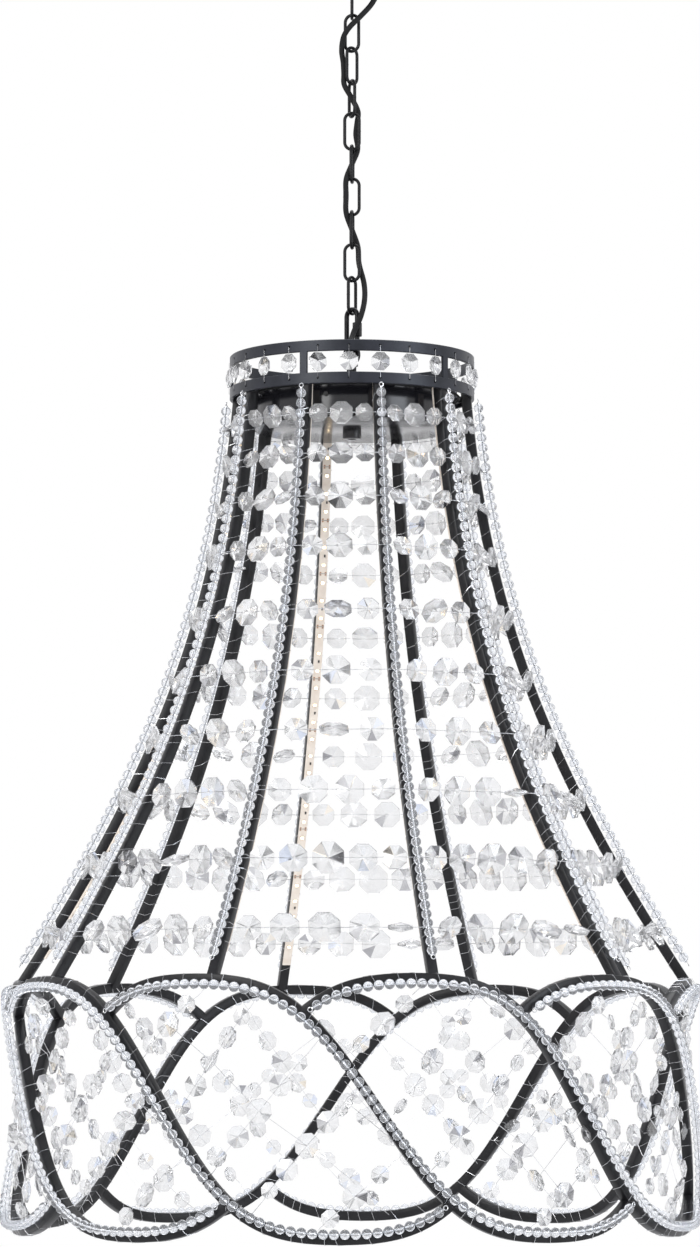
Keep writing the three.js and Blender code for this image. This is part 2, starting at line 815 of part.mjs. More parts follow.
function supplyCord() {
  const path = new THREE.CatmullRomCurve3(cordPoints(), false, 'centripetal');
  const outline = new THREE.Shape();
  for (let i = 0; i < cordSides; i += 1) {
    const angle = (2 * Math.PI * i) / cordSides;
    const step = i === 0 ? 'moveTo' : 'lineTo';
    outline[step](cordRadius * Math.cos(angle), cordRadius * Math.sin(angle));
  }
  const steps = Math.round(path.getLength() / (2 * cordRadius * cordStepShare));
  return new THREE.ExtrudeGeometry(outline, { extrudePath: path, steps });
}

add('canopy_cup', canopyCup(), satinBlack);
add('ceiling_crossbar', ceilingCrossbar(), zincSteel);
add('canopy_loop', canopyLoop(), blackSteel);
add('canopy_cord_grip', cordGrip(), blackPlastic);
linkTurns.forEach((turn, i) => {
  const centre = firstLinkCentre - linkPitch * i;
  const link = ovalRing(linkWire, linkInnerLength, linkInnerWidth, centre, turn);
  add(numbered('chain_link', i), link, blackSteel);
});
add('quick_link', quickLink(), blackSteel);
add('quick_link_sleeve', quickLinkSleeve(), blackSteel);
add('supply_cord', supplyCord(), cordBlack);
add('lifting_eye', liftingEye(), blackSteel);
add('hanger_cross', hangerCross(), satinBlack);
add('crown_ring', crownRing(), satinBlack);
add('driver_housing', driverHousing(), satinBlack);
add('housing_cord_gland', cordGland(), blackPlastic);
add('housing_cover', housingCover(), satinBlack);
add('cover_nut', coverNut(), blackSteel);
add('led_driver_left', driverBox(-1), driverWhite);
add('led_driver_right', driverBox(1), driverWhite);
add('led_strips', ledStrips(), warmLight);
const arm = frameArm(firstRibAngle);
const strand = beadStrand(firstRibAngle);
for (let i = 0; i < ribCount; i += 1) {
  const turn = (360 / ribCount) * i;
  add(numbered('frame_arm', i), arm, satinBlack, turn);
  add(numbered('bead_strand', i), strand, beadGlass, turn);
}
add('rim_crystals', rimCrystals(), clearGlass);
rowDropShares.forEach((_, row) => {
  add(numbered('crystal_row', row), crystalRow(row), clearGlass);
});

export default group;
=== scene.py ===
"""Looks of the beaded bell chandelier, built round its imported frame.

Sizes are millimetres until a mesh is made, and angles are degrees. Angles round the axis start at
the front, on -Y, and grow towards +X. Turns of links and rings start at +X. The camera, the floor
and the lights are placed in metres.
"""

import json
import math
import random

import bmesh
import bpy
import numpy as np
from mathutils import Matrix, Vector


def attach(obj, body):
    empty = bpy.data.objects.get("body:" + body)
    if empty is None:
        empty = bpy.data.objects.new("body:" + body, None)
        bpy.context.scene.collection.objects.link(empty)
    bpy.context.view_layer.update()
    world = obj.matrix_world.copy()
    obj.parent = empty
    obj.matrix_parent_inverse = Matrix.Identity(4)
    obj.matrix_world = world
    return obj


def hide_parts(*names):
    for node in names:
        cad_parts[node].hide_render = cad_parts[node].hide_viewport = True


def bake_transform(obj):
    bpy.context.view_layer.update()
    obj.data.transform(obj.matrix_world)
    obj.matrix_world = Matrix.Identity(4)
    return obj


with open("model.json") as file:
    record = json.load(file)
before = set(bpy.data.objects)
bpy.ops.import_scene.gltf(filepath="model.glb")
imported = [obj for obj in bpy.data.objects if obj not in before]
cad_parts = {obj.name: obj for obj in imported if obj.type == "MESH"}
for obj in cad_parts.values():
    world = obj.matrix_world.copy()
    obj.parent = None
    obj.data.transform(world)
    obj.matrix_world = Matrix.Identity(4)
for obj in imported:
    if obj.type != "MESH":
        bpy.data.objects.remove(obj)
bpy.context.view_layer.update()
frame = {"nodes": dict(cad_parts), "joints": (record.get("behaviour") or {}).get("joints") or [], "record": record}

MM = 0.001
UP = np.array([0.0, 0.0, 1.0])
BODIES = frame["record"]["behaviour"]["bodies"]
BODY_OF = {node: body for body, nodes in BODIES.items() for node in nodes}
random.seed(7)

# Gaps of seated pieces and round the cord, and the radius at which one part starts inside another
SEAT_GAP, CORD_GAP, INSIDE = 0.3, 0.2, 1

# Ceiling canopy, whose side curves by a shoulder inside its corner
CANOPY_RADIUS, CANOPY_FACE_RADIUS, CANOPY_HEIGHT, CANOPY_WALL = 55, 44, 31, 1.5
SHOULDER_IN, SHOULDER_UP, CANOPY_STEPS = 0.3, 2, 10
STEM_RADIUS, STEM_TOP, STEM_OVERLAP = 4, -9, 0.5
COLLAR_RADIUS, COLLAR_HEIGHT, COLLAR_LOW_BEVEL, COLLAR_BEVEL = 9, 3, 0.8, 0.6
LOOP_WIRE, LOOP_RADIUS, LOOP_CENTRE, LOOP_TURN = 4, 7, -39.3, 0
GRIP_OFFSET, GRIP_RADIUS, GRIP_HEIGHT = 26, 7, 13

# Chain, with the seam of each link's weld
LINK_TURNS = [-90, -22, 46, 112, 178, 262, 352, 82, 172, 60]
LINK_WIRE, LINK_LENGTH, LINK_WIDTH, LINK_STRAIGHT = 3, 30.8, 10.3, 10.2
FIRST_LINK_CENTRE, LINK_PITCH = -59.4, 30.5
SEAM_PROUD, SEAM_CORE, SEAM_REACH, SEAM_FLAT = 0.1, 0.4, 1.1, 0.5
OVAL_STEPS = 20

# Quick link, its sleeve and the thread below its mouth
QUICK_WIRE, QUICK_LENGTH, QUICK_WIDTH = 4.5, 34, 9
QUICK_TURN, QUICK_CENTRE, QUICK_MOUTH_MIDDLE = -45, -366.0, -368.25
MOUTH, SLEEVE_RADIUS, SLEEVE_LENGTH, SLEEVE_CORNER, SLEEVE_GAP = 6.5, 4, 13, 0.25, 0.25
THREAD_TURNS, THREAD_PITCH, THREAD_START, THREAD_REACH, THREAD_PROUD = 5, 0.8, 1, 0.3, 0.05

# Lifting eye, with its flange, stud and nut
EYE_ROD, EYE_RADIUS, EYE_TURN, EYE_CENTRE = 5, 7.5, 45, -387.7
STUD_RADIUS, STUD_BEVEL, STUD_SHORT, STUD_NUT_RADIUS, STUD_NUT_HEIGHT = 4, 0.6, 1, 8, 5
FLANGE_REACH, FLANGE_HEIGHT = 1.5, 4
NUT_CHAMFER, NUT_CORE = 0.12, 0.5

# Crown: hoops with a hole for each end of a crystal's wire, and posts
HOOP_RADIUS, HOOP_THICKNESS, HOOP_HEIGHT, HOOP_SPACING, HOOP_TOP = 111.5, 3, 10, 29, -420.7
HOOP_TOPS, HOOP_BEVEL = (HOOP_TOP + HOOP_SPACING, HOOP_TOP), 0.5
HOLE_RADIUS, HOLE_DEPTH, DRILL_REACH = 1.2, 2.4, 6
POST_COUNT, POST_WIDTH, FIRST_POST_ANGLE = 5, 7, 49
POST_THINNER, POST_OVERLAP, POST_FILLET = 0.1, 3, 0.4

# Crown crystals: most hang square to the crown, a few are turned away
WINDOW_CRYSTALS, CROWN_CRYSTAL, CROWN_PROUD, CROWN_SEED = 5, 16.2, 0.6, 3
SQUARE_SHARE, SQUARE_TURNS, AWAY_TURNS = 0.93, (-14, 14), (30, 50)

# Drum with its cover, nut, gland and screws
CROSS_TOP, DRUM_TOP, DRUM_BOTTOM, COVER_TOP, COVER_NUT_TOP = -423.7, -428.0, -455.7, -456.0, -458.3
DRUM_RADIUS, DRUM_WALL, COVER_THICKNESS = 90, 1.6, 2
COVER_NUT_RADIUS, COVER_NUT_HEIGHT, COVER_NUT_GAP = 8.5, 8, 0.1
GLAND_RADIUS, GLAND_HEIGHT, GLAND_OFFSET, GLAND_ANGLE = 9, 11, 42, -3
GLAND_BEVEL, GLAND_DOME, GLAND_LIP = 1, 1.5, 0.3
SCREW_BACK, SCREW_DROP, SCREW_RADIUS, SOCKET_RADIUS = 28, 9, 2.2, 1.5
SCREW_LEVELS, SOCKET_LEVELS = (-0.5, 0.6, 1.0), (0.9, 1.3)

# Rounded edges: how far in and how far along each point is from the corner
GRIP_EDGE = [(1.6, 0), (0.4, 1.4), (0, 2.4)]
DRUM_EDGE = [(0.4, 0), (0.1, 0.1), (0, 0.4)]
COVER_EDGE = [(0.7, 0), (0.2, 0.2), (0, 0.7)]
COVER_NUT_EDGE = [(1, 0), (0.3, 0.3), (0, 1)]

# Ribs and waves, and how their ends are cut back
RIB_COUNT, FIRST_RIB_ANGLE, BAR, BAR_FILLET, BAND_RADIUS = 10, 13, 9, 1.3, 301
RIB_SPACING = 360 // RIB_COUNT
RIB_ANGLES = [FIRST_RIB_ANGLE + RIB_SPACING * i for i in range(RIB_COUNT)]
RIB_CURVE = np.array([[103.7, -420.7], [118.7, -612.8], [171.8, -763.7], [301, -961.7]])
BAND_MIDDLE, WAVE_AMPLITUDE, WAVE_ROUNDING = -1070.2, 108.5, 0.085
WAVE_APEX_ANGLE, WAVE_HALF_TURN, WAVE_START, WAVE_END = -3, 60, -54, 234
RIB_TOP_GAP, WAVE_CUT, WAVE_END_SIZE = 0.5, BAR / 2 - 2, 0.965

# Strands of beads. Those of the waves are pulled towards the band's middle at the arcs
STRAND_OFFSET, STRAND_PULL, STRAND_WIRE = 10.3, 4.5, 0.3
STRAND_TOP_GAP, RIB_STRAND_END, WAVE_STRAND_END, STRAND_WIRE_STEP = 0.4, 13, 9, 6
BEAD_RADIUS, BEAD_PITCH, BEAD_BORE, BEAD_SIDES, BEAD_RINGS = 4.55, 9.1, 0.55, 12, 7
BEAD_SIZES = (0.97, 1.0)

# Loop and crimp that end a strand
KNOT_RADIUS, KNOT_WIRE, KNOT_RISE, KNOT_STEPS, KNOT_PLACE = 1.9, 0.4, 0.6, 14, 2.4
CRIMP_RADIUS, CRIMP_PLACES = 1.0, (3.2, 2.2, 1.6)

# Wire that binds strands to bars: beads to a turn, and how far it stays from the strand's start
# and from the bar's end
BINDING_WIRE, BINDING_GAP, FIRST_BINDING, BINDINGS = 0.18, 0.28, 2, (0.8, 1.5, 2.2, 3)
RIB_ENDS, WAVE_ENDS = (2, 8), (4, 10)

# Crystals: octagons with a thin girdle, and how often facets are clear or painted as a blue glint,
# an amber glint or a dark reflection
CRYSTAL_SIDES, CRYSTAL_THICKNESS, GIRDLE_SHARE = 8, 0.42, 0.22
FACET_WEIGHTS, DARK_REFLECTION_WEIGHT, CROWN_DARK_REFLECTION_WEIGHT = (150, 2, 1), 5, 20
CROWN_WIRE, CROWN_WIRE_END = 0.16, 2

# Rows of crystals. A spin is a turn about the wire, and the share that hang any way
WIRE_OFFSET, ROW_WIRE, BELL_HEIGHT = 5.4, 0.3, 541
ROW_DROPS = [0.067, 0.135, 0.207, 0.29, 0.397, 0.499, 0.598, 0.697, 0.808, 0.92]
ROW_COUNTS = [3, 3, 3, 3, 3, 3, 3, 4, 5, 5]
TOP_CRYSTALS, LOW_CRYSTALS = (14.5, 21), (21, 28)
ROW_SIZES, ROW_SPIN = (0.95, 1.0), (20, 0.15)

# Nets of crystals in the openings of the band: phases on the lower and upper wave, crystals and
# bare wire at both ends of each string, and the small crystals between the strings
NET_PHASES = [(74, 8), (95, 34), (114, 64), (135, 82), (165, 104)]
NET_COUNTS = [3, 5, 5, 5, 3]
NET_BARE = [(9, 20), (9, 20), (9, 20), (20, 9), (12, 17)]
NET_CRYSTALS, NET_BETWEEN = (13, 21), (13, 15)
NET_WIRE, NET_SPIN, NET_MIDDLE_BARE, NET_TOP_BARE = 0.25, (18, 0.06), 9.5, 9

# Light strips. Sizes on the tape are across it, along it and through it, and a rise is that of
# the middle. A chip has a case and a glowing top, each with a size, a rise and a fillet
STRIP_ANGLES = [13, 193, -23, 49, 121, 265]
STRIP_WIDTH, STRIP_THICKNESS, STRIP_TOP, STRIP_FOOT, STRIP_OFFSET = 8, 1.6, 0.013, 0.955, 5.5
STRIP_FACE, STRIP_FILLET, FEED_SHARE, FEED_RADIUS = STRIP_THICKNESS / 2, 0.3, 0.0135, 1.2
LIGHT_PITCH, FIRST_LIGHT, LAST_LIGHT = 16.7, 1.5, 4
CUT_PITCH, LAST_CUT = 50, 10
CHIP_LAYERS = [((3.5, 2.8, 0.9), 0.3, 0.3), ((2.6, 2.1, 0.3), 0.75, 0.4)]
CUT_SIZE, CUT_RISE = (7.4, 0.35, 0.12), 0.05
PAD_SIZE, PAD_ACROSS, PAD_ALONG = (1.6, 1.2, 0.16), 2.4, 1.1
RESISTOR_SIZE, RESISTOR_RISE, RESISTOR_ACROSS = (1.4, 2.4, 0.6), 0.2, 0.8

# Supply cord, and how far from a hinge its bend starts and ends
CORD_RADIUS, CORD_STEPS, BEND_REACH = 2.5, 8, 14
CORD_POINTS = [
    (26, 0, -26), (26, 0, -37), (24.6, -0.8, -49), (18.4, -4.6, -63), (8, -9.4, -76), (-2, -9, -86),
    (-7.5, -5, -94), (-9.4, -0.5, -106), (-8, 0, -117), (-7.4, -0.6, -128), (-7.1, -1.2, -138),
    (0, 0, -150.9), (5.6, 3.4, -163), (4.6, 5.2, -173), (3.6, 6, -183), (5.2, 4.6, -197),
    (0, 0, -211.9), (-5.3, -4.6, -227), (-5.4, -4.6, -242), (-5.3, -4.4, -258), (0, 0, -272.9),
    (5.4, 4.4, -288), (6.4, 5, -303), (11, 3, -322), (11.5, -4, -338), (8, -12, -355),
    (1, -17, -372), (-1.6, -35.5, -390), (-2.2, -41.94, -410), (-2.2, -41.94, -418),
    (-2.2, -41.94, -426),
]

# Camera in metres, its lens and sensor in millimetres, and the photograph's height in pixels
CAMERA_DISTANCE, CAMERA_HEIGHT, CAMERA_TILT, CAMERA_LENS = 4.145, -1.0339, 5.497, 132.4
AXIS_PIXELS_RIGHT, IMAGE_HEIGHT, SENSOR, CLIP = 2, 1247, 36, (0.05, 200)

# Floor and lights, in metres. The lights face the middle of the lamp
FLOOR_REACH, FLOOR_LEVEL, LAMP_MIDDLE = 24, -7.5, (0, 0, -0.8)


# Directions


def unit(vector):
    return vector / np.linalg.norm(vector)


def outward(angle):
    a = math.radians(angle)
    return np.array([math.sin(a), -math.cos(a), 0.0])


def outward_at(point):
    """Direction away from the axis at a point."""
    return unit(point * (1, 1, 0))


def plane_direction(turn):
    a = math.radians(turn)
    return np.array([math.cos(a), math.sin(a), 0.0])


# Meshes


class Shape:
    """Vertices and faces of one piece, with the number of the finish of each face."""

    def __init__(self):
        self.points, self.faces, self.paint, self.count = [], [], [], 0

    def put(self, points, faces, paint=0):
        start = self.count
        self.points.append(np.asarray(points, float))
        self.faces.extend([start + i for i in face] for face in faces)
        self.paint.extend(paint if isinstance(paint, list) else [paint] * len(faces))
        self.count += len(points)


def added(name, data):
    obj = bpy.data.objects.new(name, data)
    bpy.context.scene.collection.objects.link(obj)
    return obj


def piece(name, shape, finishes, replaces=(), slot=None, body="lamp", sharp=35):
    """Makes an object of a shape. Edges steeper than sharp degrees stay crisp."""
    mesh = bpy.data.meshes.new(name)
    mesh.from_pydata((np.concatenate(shape.points) * MM).tolist(), [], shape.faces)
    for material in finishes:
        mesh.materials.append(material)
    mesh.polygons.foreach_set("material_index", shape.paint)
    edited = bmesh.new()
    edited.from_mesh(mesh)
    bmesh.ops.recalc_face_normals(edited, faces=edited.faces)
    edited.to_mesh(mesh)
    edited.free()
    mesh.shade_smooth()
    mesh.set_sharp_from_angle(angle=math.radians(sharp))
    obj = added(name, mesh)
    if body:
        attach(obj, body)
    if replaces:
        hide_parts(*replaces)
    return obj


def circle(radius, sides):
    return [
        (radius * math.cos(2 * math.pi * i / sides), radius * math.sin(2 * math.pi * i / sides))
        for i in range(sides)
    ]


def rounded(width, depth, fillet, steps=3):
    """Outline of a rectangle with rounded corners."""
    outline = []
    for quarter in range(4):
        middle = math.radians(45 + 90 * quarter)
        cx = math.copysign(width / 2 - fillet, math.cos(middle))
        cy = math.copysign(depth / 2 - fillet, math.sin(middle))
        for i in range(steps):
            a = math.radians(90 * quarter + 90 * i / (steps - 1))
            outline.append((cx + fillet * math.cos(a), cy + fillet * math.sin(a)))
    return outline


def bevelled(inner, radius, bottom, top, bevel, top_bevel=None):
    """Outline of a turned disc or hoop with bevelled outer edges."""
    upper = bevel if top_bevel is None else top_bevel
    return [
        (inner, bottom), (radius - bevel, bottom), (radius, bottom + bevel),
        (radius, top - upper), (radius - upper, top), (inner, top),
    ]


def edge(radius, level, steps, heading=1):
    """Points of a rounded edge, from a flat at this level to a side of this radius."""
    return [(radius - inset, level + heading * along) for inset, along in steps]


def sweep(shape, outline, at, x, y, closed=False, paint=0, sizes=None):
    """Skins an outline along a line of points with directions x and y across it."""
    outline = np.asarray(outline, float)
    at, x, y = (np.asarray(v, float) for v in (at, x, y))
    scale = np.ones(len(at)) if sizes is None else np.asarray(sizes, float)
    rings = (
        at[:, None, :]
        + (outline[None, :, :1] * scale[:, None, None]) * x[:, None, :]
        + (outline[None, :, 1:] * scale[:, None, None]) * y[:, None, :]
    )
    n, m = len(at), len(outline)
    faces = []
    for i in range(n if closed else n - 1):
        a, b = i * m, ((i + 1) % n) * m
        faces.extend([a + j, a + (j + 1) % m, b + (j + 1) % m, b + j] for j in range(m))
    if not closed:
        faces.append(list(range(m))[::-1])
        faces.append(list(range((n - 1) * m, n * m)))
    shape.put(rings.reshape(-1, 3), faces, paint)


def carried(points, closed=False):
    """Directions across a line of points, carried along it without twisting."""
    points = np.asarray(points, float)
    ahead = np.roll(points, -1, 0) - np.roll(points, 1, 0)
    if not closed:
        ahead[0], ahead[-1] = points[1] - points[0], points[-1] - points[-2]
    ahead /= np.linalg.norm(ahead, axis=1)[:, None]
    steep = abs(ahead[0][2]) >= 0.9
    x = np.cross(ahead[0], np.array([1.0, 0, 0]) if steep else UP)
    xs = []
    for direction in ahead:
        x = unit(x - direction * (x @ direction))
        xs.append(x)
    xs = np.array(xs)
    return xs, np.cross(ahead, xs)


def wire(shape, points, radius, sides=6, closed=False, paint=0):
    x, y = carried(points, closed)
    sweep(shape, circle(radius, sides), points, x, y, closed, paint)


def turned(shape, outline, sides, centre=(0, 0), closed=True):
    """Turns an outline of (radius, height) points round an upright line."""
    m = len(outline)
    points = []
    for i in range(sides):
        a = 2 * math.pi * i / sides
        points.extend(
            (centre[0] + r * math.cos(a), centre[1] + r * math.sin(a), z) for r, z in outline
        )
    faces = []
    for i in range(sides):
        a, b = i * m, ((i + 1) % sides) * m
        for j in range(m if closed else m - 1):
            k = (j + 1) % m
            faces.append([a + j, b + j, b + k, a + k])
    if not closed:
        faces.append([i * m for i in range(sides)])
        faces.append([i * m + m - 1 for i in range(sides)][::-1])
    shape.put(points, faces)


def turned_piece(name, outline, sides, *settings, centre=(0, 0)):
    shape = Shape()
    turned(shape, outline, sides, centre)
    piece(name, shape, *settings)


def hexagon(shape, radius, top, bottom, centre=(0, 0), bore=NUT_CORE):
    """Nut with chamfered corners."""
    turned(shape, bevelled(bore, radius, bottom, top, NUT_CHAMFER * radius), 6, centre)


def ring(shape, radius, rod, centre, turn, steps=40, sides=14):
    """Upright ring of round rod."""
    across = plane_direction(turn)
    angles = [2 * math.pi * i / steps for i in range(steps)]
    rays = [across * math.cos(a) + UP * math.sin(a) for a in angles]
    sideways = np.cross(UP, across)
    points = [ray * radius + UP * centre for ray in rays]
    sweep(shape, circle(rod, sides), points, rays, [sideways] * steps, closed=True)


def block(shape, size, at, x, y, paint=0, fillet=0.0):
    """Box round a point: size along x, y and their cross product."""
    x, y = unit(np.asarray(x, float)), unit(np.asarray(y, float))
    z = np.cross(x, y)
    outline = rounded(size[0], size[1], fillet, 2) if fillet else [
        (-size[0] / 2, -size[1] / 2), (size[0] / 2, -size[1] / 2),
        (size[0] / 2, size[1] / 2), (-size[0] / 2, size[1] / 2),
    ]
    ends = [np.asarray(at, float) - z * size[2] / 2, np.asarray(at, float) + z * size[2] / 2]
    sweep(shape, outline, ends, [x, x], [y, y], paint=paint)


# Lines that bars, strands and strips follow


class Line:
    """A line of points with an outward direction at each, measured along its length."""

    def __init__(self, at, out):
        self.at, self.out = np.array(at), np.array(out)
        steps = np.linalg.norm(np.diff(self.at, axis=0), axis=1)
        self.run = np.concatenate([[0.0], np.cumsum(steps)])
        self.length = self.run[-1]

    def point(self, s):
        return np.array([np.interp(s, self.run, self.at[:, i]) for i in range(3)])

    def place(self, s, reach=0.3):
        """Point, outward direction, side direction and heading at a distance along."""
        out = np.array([np.interp(s, self.run, self.out[:, i]) for i in range(3)])
        s = min(max(s, reach), self.length - reach)
        ahead = unit(self.point(s + reach) - self.point(s - reach))
        out = unit(out - ahead * (out @ ahead))
        return self.point(s), out, np.cross(ahead, out), ahead


def rib_point(angle, offset, share):
    """Point and outward direction, at a share of the way down a rib."""
    p, t, rest = RIB_CURVE, share, 1 - share
    middle = rest**3 * p[0] + 3 * rest**2 * t * p[1] + 3 * rest * t * t * p[2] + t**3 * p[3]
    slope = rest**2 * (p[1] - p[0]) + 2 * rest * t * (p[2] - p[1]) + t * t * (p[3] - p[2])
    slope = unit(3 * slope)
    out = outward(angle) * -slope[1] + UP * slope[0]
    return outward(angle) * middle[0] + UP * middle[1] + out * offset, out


def rib_line(angle, offset, start=0.0, end=1.0, steps=64):
    shares = [start + (end - start) * i / steps for i in range(steps + 1)]
    return Line(*zip(*(rib_point(angle, offset, share) for share in shares)))


def wave_height(phase):
    """Height of a wave at a phase: a cosine with rounder arcs."""
    p = math.radians(phase)
    swing = WAVE_AMPLITUDE * (math.cos(p) - WAVE_ROUNDING * math.cos(3 * p))
    return BAND_MIDDLE + swing / (1 - WAVE_ROUNDING)


def wave_point(rib_angle, offset, phase, pull=0.0):
    """Point and outward direction. A pulled line runs nearer to the band's middle at its arcs."""
    out = outward(rib_angle + WAVE_APEX_ANGLE + phase / 180 * WAVE_HALF_TURN)
    height = wave_height(phase)
    height -= pull * (height - BAND_MIDDLE) / WAVE_AMPLITUDE
    return out * (BAND_RADIUS + offset) + UP * height, out


def wave_line(rib_angle, offset, pull=0.0, steps=96):
    phases = [WAVE_START + (WAVE_END - WAVE_START) * i / steps for i in range(steps + 1)]
    return Line(*zip(*(wave_point(rib_angle, offset, phase, pull) for phase in phases)))


# Finishes


def set_inputs(node, **values):
    """Sets a node's inputs by name, with an underscore for each space."""
    for name, value in values.items():
        node.inputs[name.replace("_", " ")].default_value = value


def noise(tree, place, scale, detail):
    texture = tree.nodes.new("ShaderNodeTexNoise")
    set_inputs(texture, Scale=scale, Detail=detail)
    tree.links.new(place, texture.inputs["Vector"])
    return texture.outputs["Fac"]


def spread(tree, value, least, most, results=(0, 1)):
    """Maps a value between two limits onto two results."""
    node = tree.nodes.new("ShaderNodeMapRange")
    set_inputs(node, From_Min=least, From_Max=most, To_Min=results[0], To_Max=results[1])
    tree.links.new(value, node.inputs["Value"])
    return node.outputs["Result"]


def mixed(tree, factor, colour, other):
    """Goes from a node's colour to another colour as the factor grows."""
    node = tree.nodes.new("ShaderNodeMix")
    node.data_type = "RGBA"
    tree.links.new(factor, node.inputs["Factor"])
    tree.links.new(colour, node.inputs["A"])
    node.inputs["B"].default_value = (*other, 1)
    return node.outputs["Result"]


def finish(
    name, light, dark, rough, scale, bump=0.1, bump_scale=None, emission=None, rim=None, **sockets
):
    """Procedural finish: two mottled colours, uneven gloss and a fine surface.

    Rim is the colour and blend of painted shade on glass, darker where its surface turns away from
    view, and emission is a colour and a strength.
    """
    material = bpy.data.materials.new(name)
    material.use_nodes = True
    tree = material.node_tree
    nodes, links = tree.nodes, tree.links
    shader = nodes["Principled BSDF"]
    place = nodes.new("ShaderNodeTexCoord").outputs["Object"]
    mottle = noise(tree, place, scale, detail=5)
    ramp = nodes.new("ShaderNodeValToRGB")
    for stop, position, colour in zip(ramp.color_ramp.elements, (0.35, 0.65), (dark, light)):
        stop.position, stop.color = position, (*colour, 1)
    links.new(mottle, ramp.inputs["Fac"])
    tint = ramp.outputs["Color"]
    # Painted shade: the glass colour goes to the rim colour where the surface turns away from view
    if rim:
        rim_shade = nodes.new("ShaderNodeLayerWeight")
        set_inputs(rim_shade, Blend=rim[3])
        tint = mixed(tree, rim_shade.outputs["Facing"], tint, rim[:3])
    links.new(tint, shader.inputs["Base Color"])
    links.new(spread(tree, mottle, 0.3, 0.7, rough), shader.inputs["Roughness"])
    relief = nodes.new("ShaderNodeBump")
    set_inputs(relief, Strength=bump, Distance=0.0002)
    links.new(noise(tree, place, bump_scale or 12 * scale, detail=3), relief.inputs["Height"])
    links.new(relief.outputs["Normal"], shader.inputs["Normal"])
    set_inputs(shader, **sockets)
    if emission:
        set_inputs(shader, Emission_Color=(*emission[:3], 1), Emission_Strength=emission[3])
    return material


def glint(name, light, dark):
    """Glass for single facets, painted as a glint or a dark reflection."""
    return finish(name, light, dark, (0, 0.05), 40, 0.03, 300, Transmission_Weight=1, IOR=1.54)


SATIN_BLACK = finish(
    "satin_black", (0.014, 0.014, 0.016), (0.008, 0.008, 0.009), (0.28, 0.4), 60, 0.25, 2600,
    Specular_IOR_Level=0.26,
)
# The bars' satin black, painted lighter and bluer with a bluish specular tint: painted bluish sheen
HOOP_BLACK_PAINTED_SHEEN = finish(
    "hoop_black_painted_sheen", (0.019, 0.02, 0.027), (0.011, 0.012, 0.016), (0.3, 0.42), 60, 0.25, 2600,
    Specular_IOR_Level=0.32, Specular_Tint=(0.88, 0.93, 1.0, 1),
)
GLOSS_BLACK = finish(
    "gloss_black", (0.012, 0.012, 0.015), (0.008, 0.008, 0.01), (0.1, 0.2), 30, 0.12, 1500,
    Specular_IOR_Level=0.45,
)
CHAIN_BLACK = finish(
    "chain_black", (0.01, 0.01, 0.011), (0.005, 0.005, 0.006), (0.2, 0.36), 140, 0.3, 1800,
    Specular_IOR_Level=0.18,
)
ZINC = finish(
    "zinc", (0.4, 0.41, 0.43), (0.24, 0.25, 0.27), (0.35, 0.55), 200, 0.3, 2400, Metallic=1.0
)
SILVER = finish(
    "silver_wire", (0.86, 0.86, 0.87), (0.66, 0.67, 0.69), (0.15, 0.3), 300, 0.1, 3000, Metallic=1.0
)
FINE_WIRE = finish(
    "fine_wire", (0.6, 0.6, 0.61), (0.36, 0.36, 0.37), (0.2, 0.35), 300, 0.1, 3000, Metallic=1.0
)
PLASTIC = finish(
    "black_plastic", (0.02, 0.02, 0.02), (0.012, 0.012, 0.012), (0.45, 0.6), 90, 0.3, 2000
)
CORD = finish(
    "cord_black", (0.012, 0.012, 0.013), (0.007, 0.007, 0.007), (0.6, 0.75), 120, 0.5, 1600,
    Specular_IOR_Level=0.2,
)
DRIVER = finish("driver_white", (0.8, 0.8, 0.77), (0.7, 0.7, 0.68), (0.4, 0.55), 50, 0.2, 1200)
# Clear crystal glass, with painted shade that darkens it towards its rims
CRYSTAL = finish(
    "clear_glass", (0.965, 0.965, 0.96), (0.92, 0.92, 0.915), (0.04, 0.11), 40, 0.03, 300,
    rim=(0.6, 0.6, 0.61, 0.28), Transmission_Weight=0.86, IOR=1.54,
)
# Facet glass painted as a dark reflection, a blue glint and an amber glint
PAINTED_DARK_REFLECTION = glint("painted_dark_reflection", (0.3, 0.3, 0.32), (0.2, 0.2, 0.22))
PAINTED_BLUE_GLINT = glint("blue_glint", (0.72, 0.8, 0.98), (0.62, 0.71, 0.93))
PAINTED_AMBER_GLINT = glint("amber_glint", (0.98, 0.88, 0.72), (0.96, 0.82, 0.62))
# Bead glass, with painted bluish shade that darkens it towards its rims
BEAD = finish(
    "bead_glass", (0.975, 0.98, 0.99), (0.92, 0.94, 0.97), (0.02, 0.07), 60, 0.05, 500,
    rim=(0.65, 0.685, 0.745, 0.25), Transmission_Weight=0.88, IOR=1.5,
)
TAPE = finish("strip_tape", (0.9, 0.82, 0.73), (0.82, 0.72, 0.62), (0.35, 0.5), 120, 0.2, 1500)
PHOSPHOR = finish(
    "light_chip", (1.0, 0.82, 0.5), (0.95, 0.7, 0.36), (0.3, 0.4), 400, 0.1, 3000,
    emission=(1.0, 0.76, 0.45, 8.0),
)
COPPER = finish("strip_copper", (0.5, 0.27, 0.16), (0.3, 0.15, 0.09), (0.3, 0.4), 300, Metallic=1.0)
CHIP_BLACK = finish("strip_resistor", (0.03, 0.026, 0.024), (0.015, 0.014, 0.013), (0.4, 0.5), 400)

# Finishes of strung pieces: wire takes the second of each, and facets choose among the others:
# clear glass, painted glints and a painted dark reflection
STRUNG_BEADS = [BEAD, SILVER]
STRUNG_GLASS = [CRYSTAL, SILVER, PAINTED_BLUE_GLINT, PAINTED_AMBER_GLINT, PAINTED_DARK_REFLECTION]
METAL, FACET_PAINTS = 1, (0, 2, 3, 4)


# Camera, first because the framing depends on it


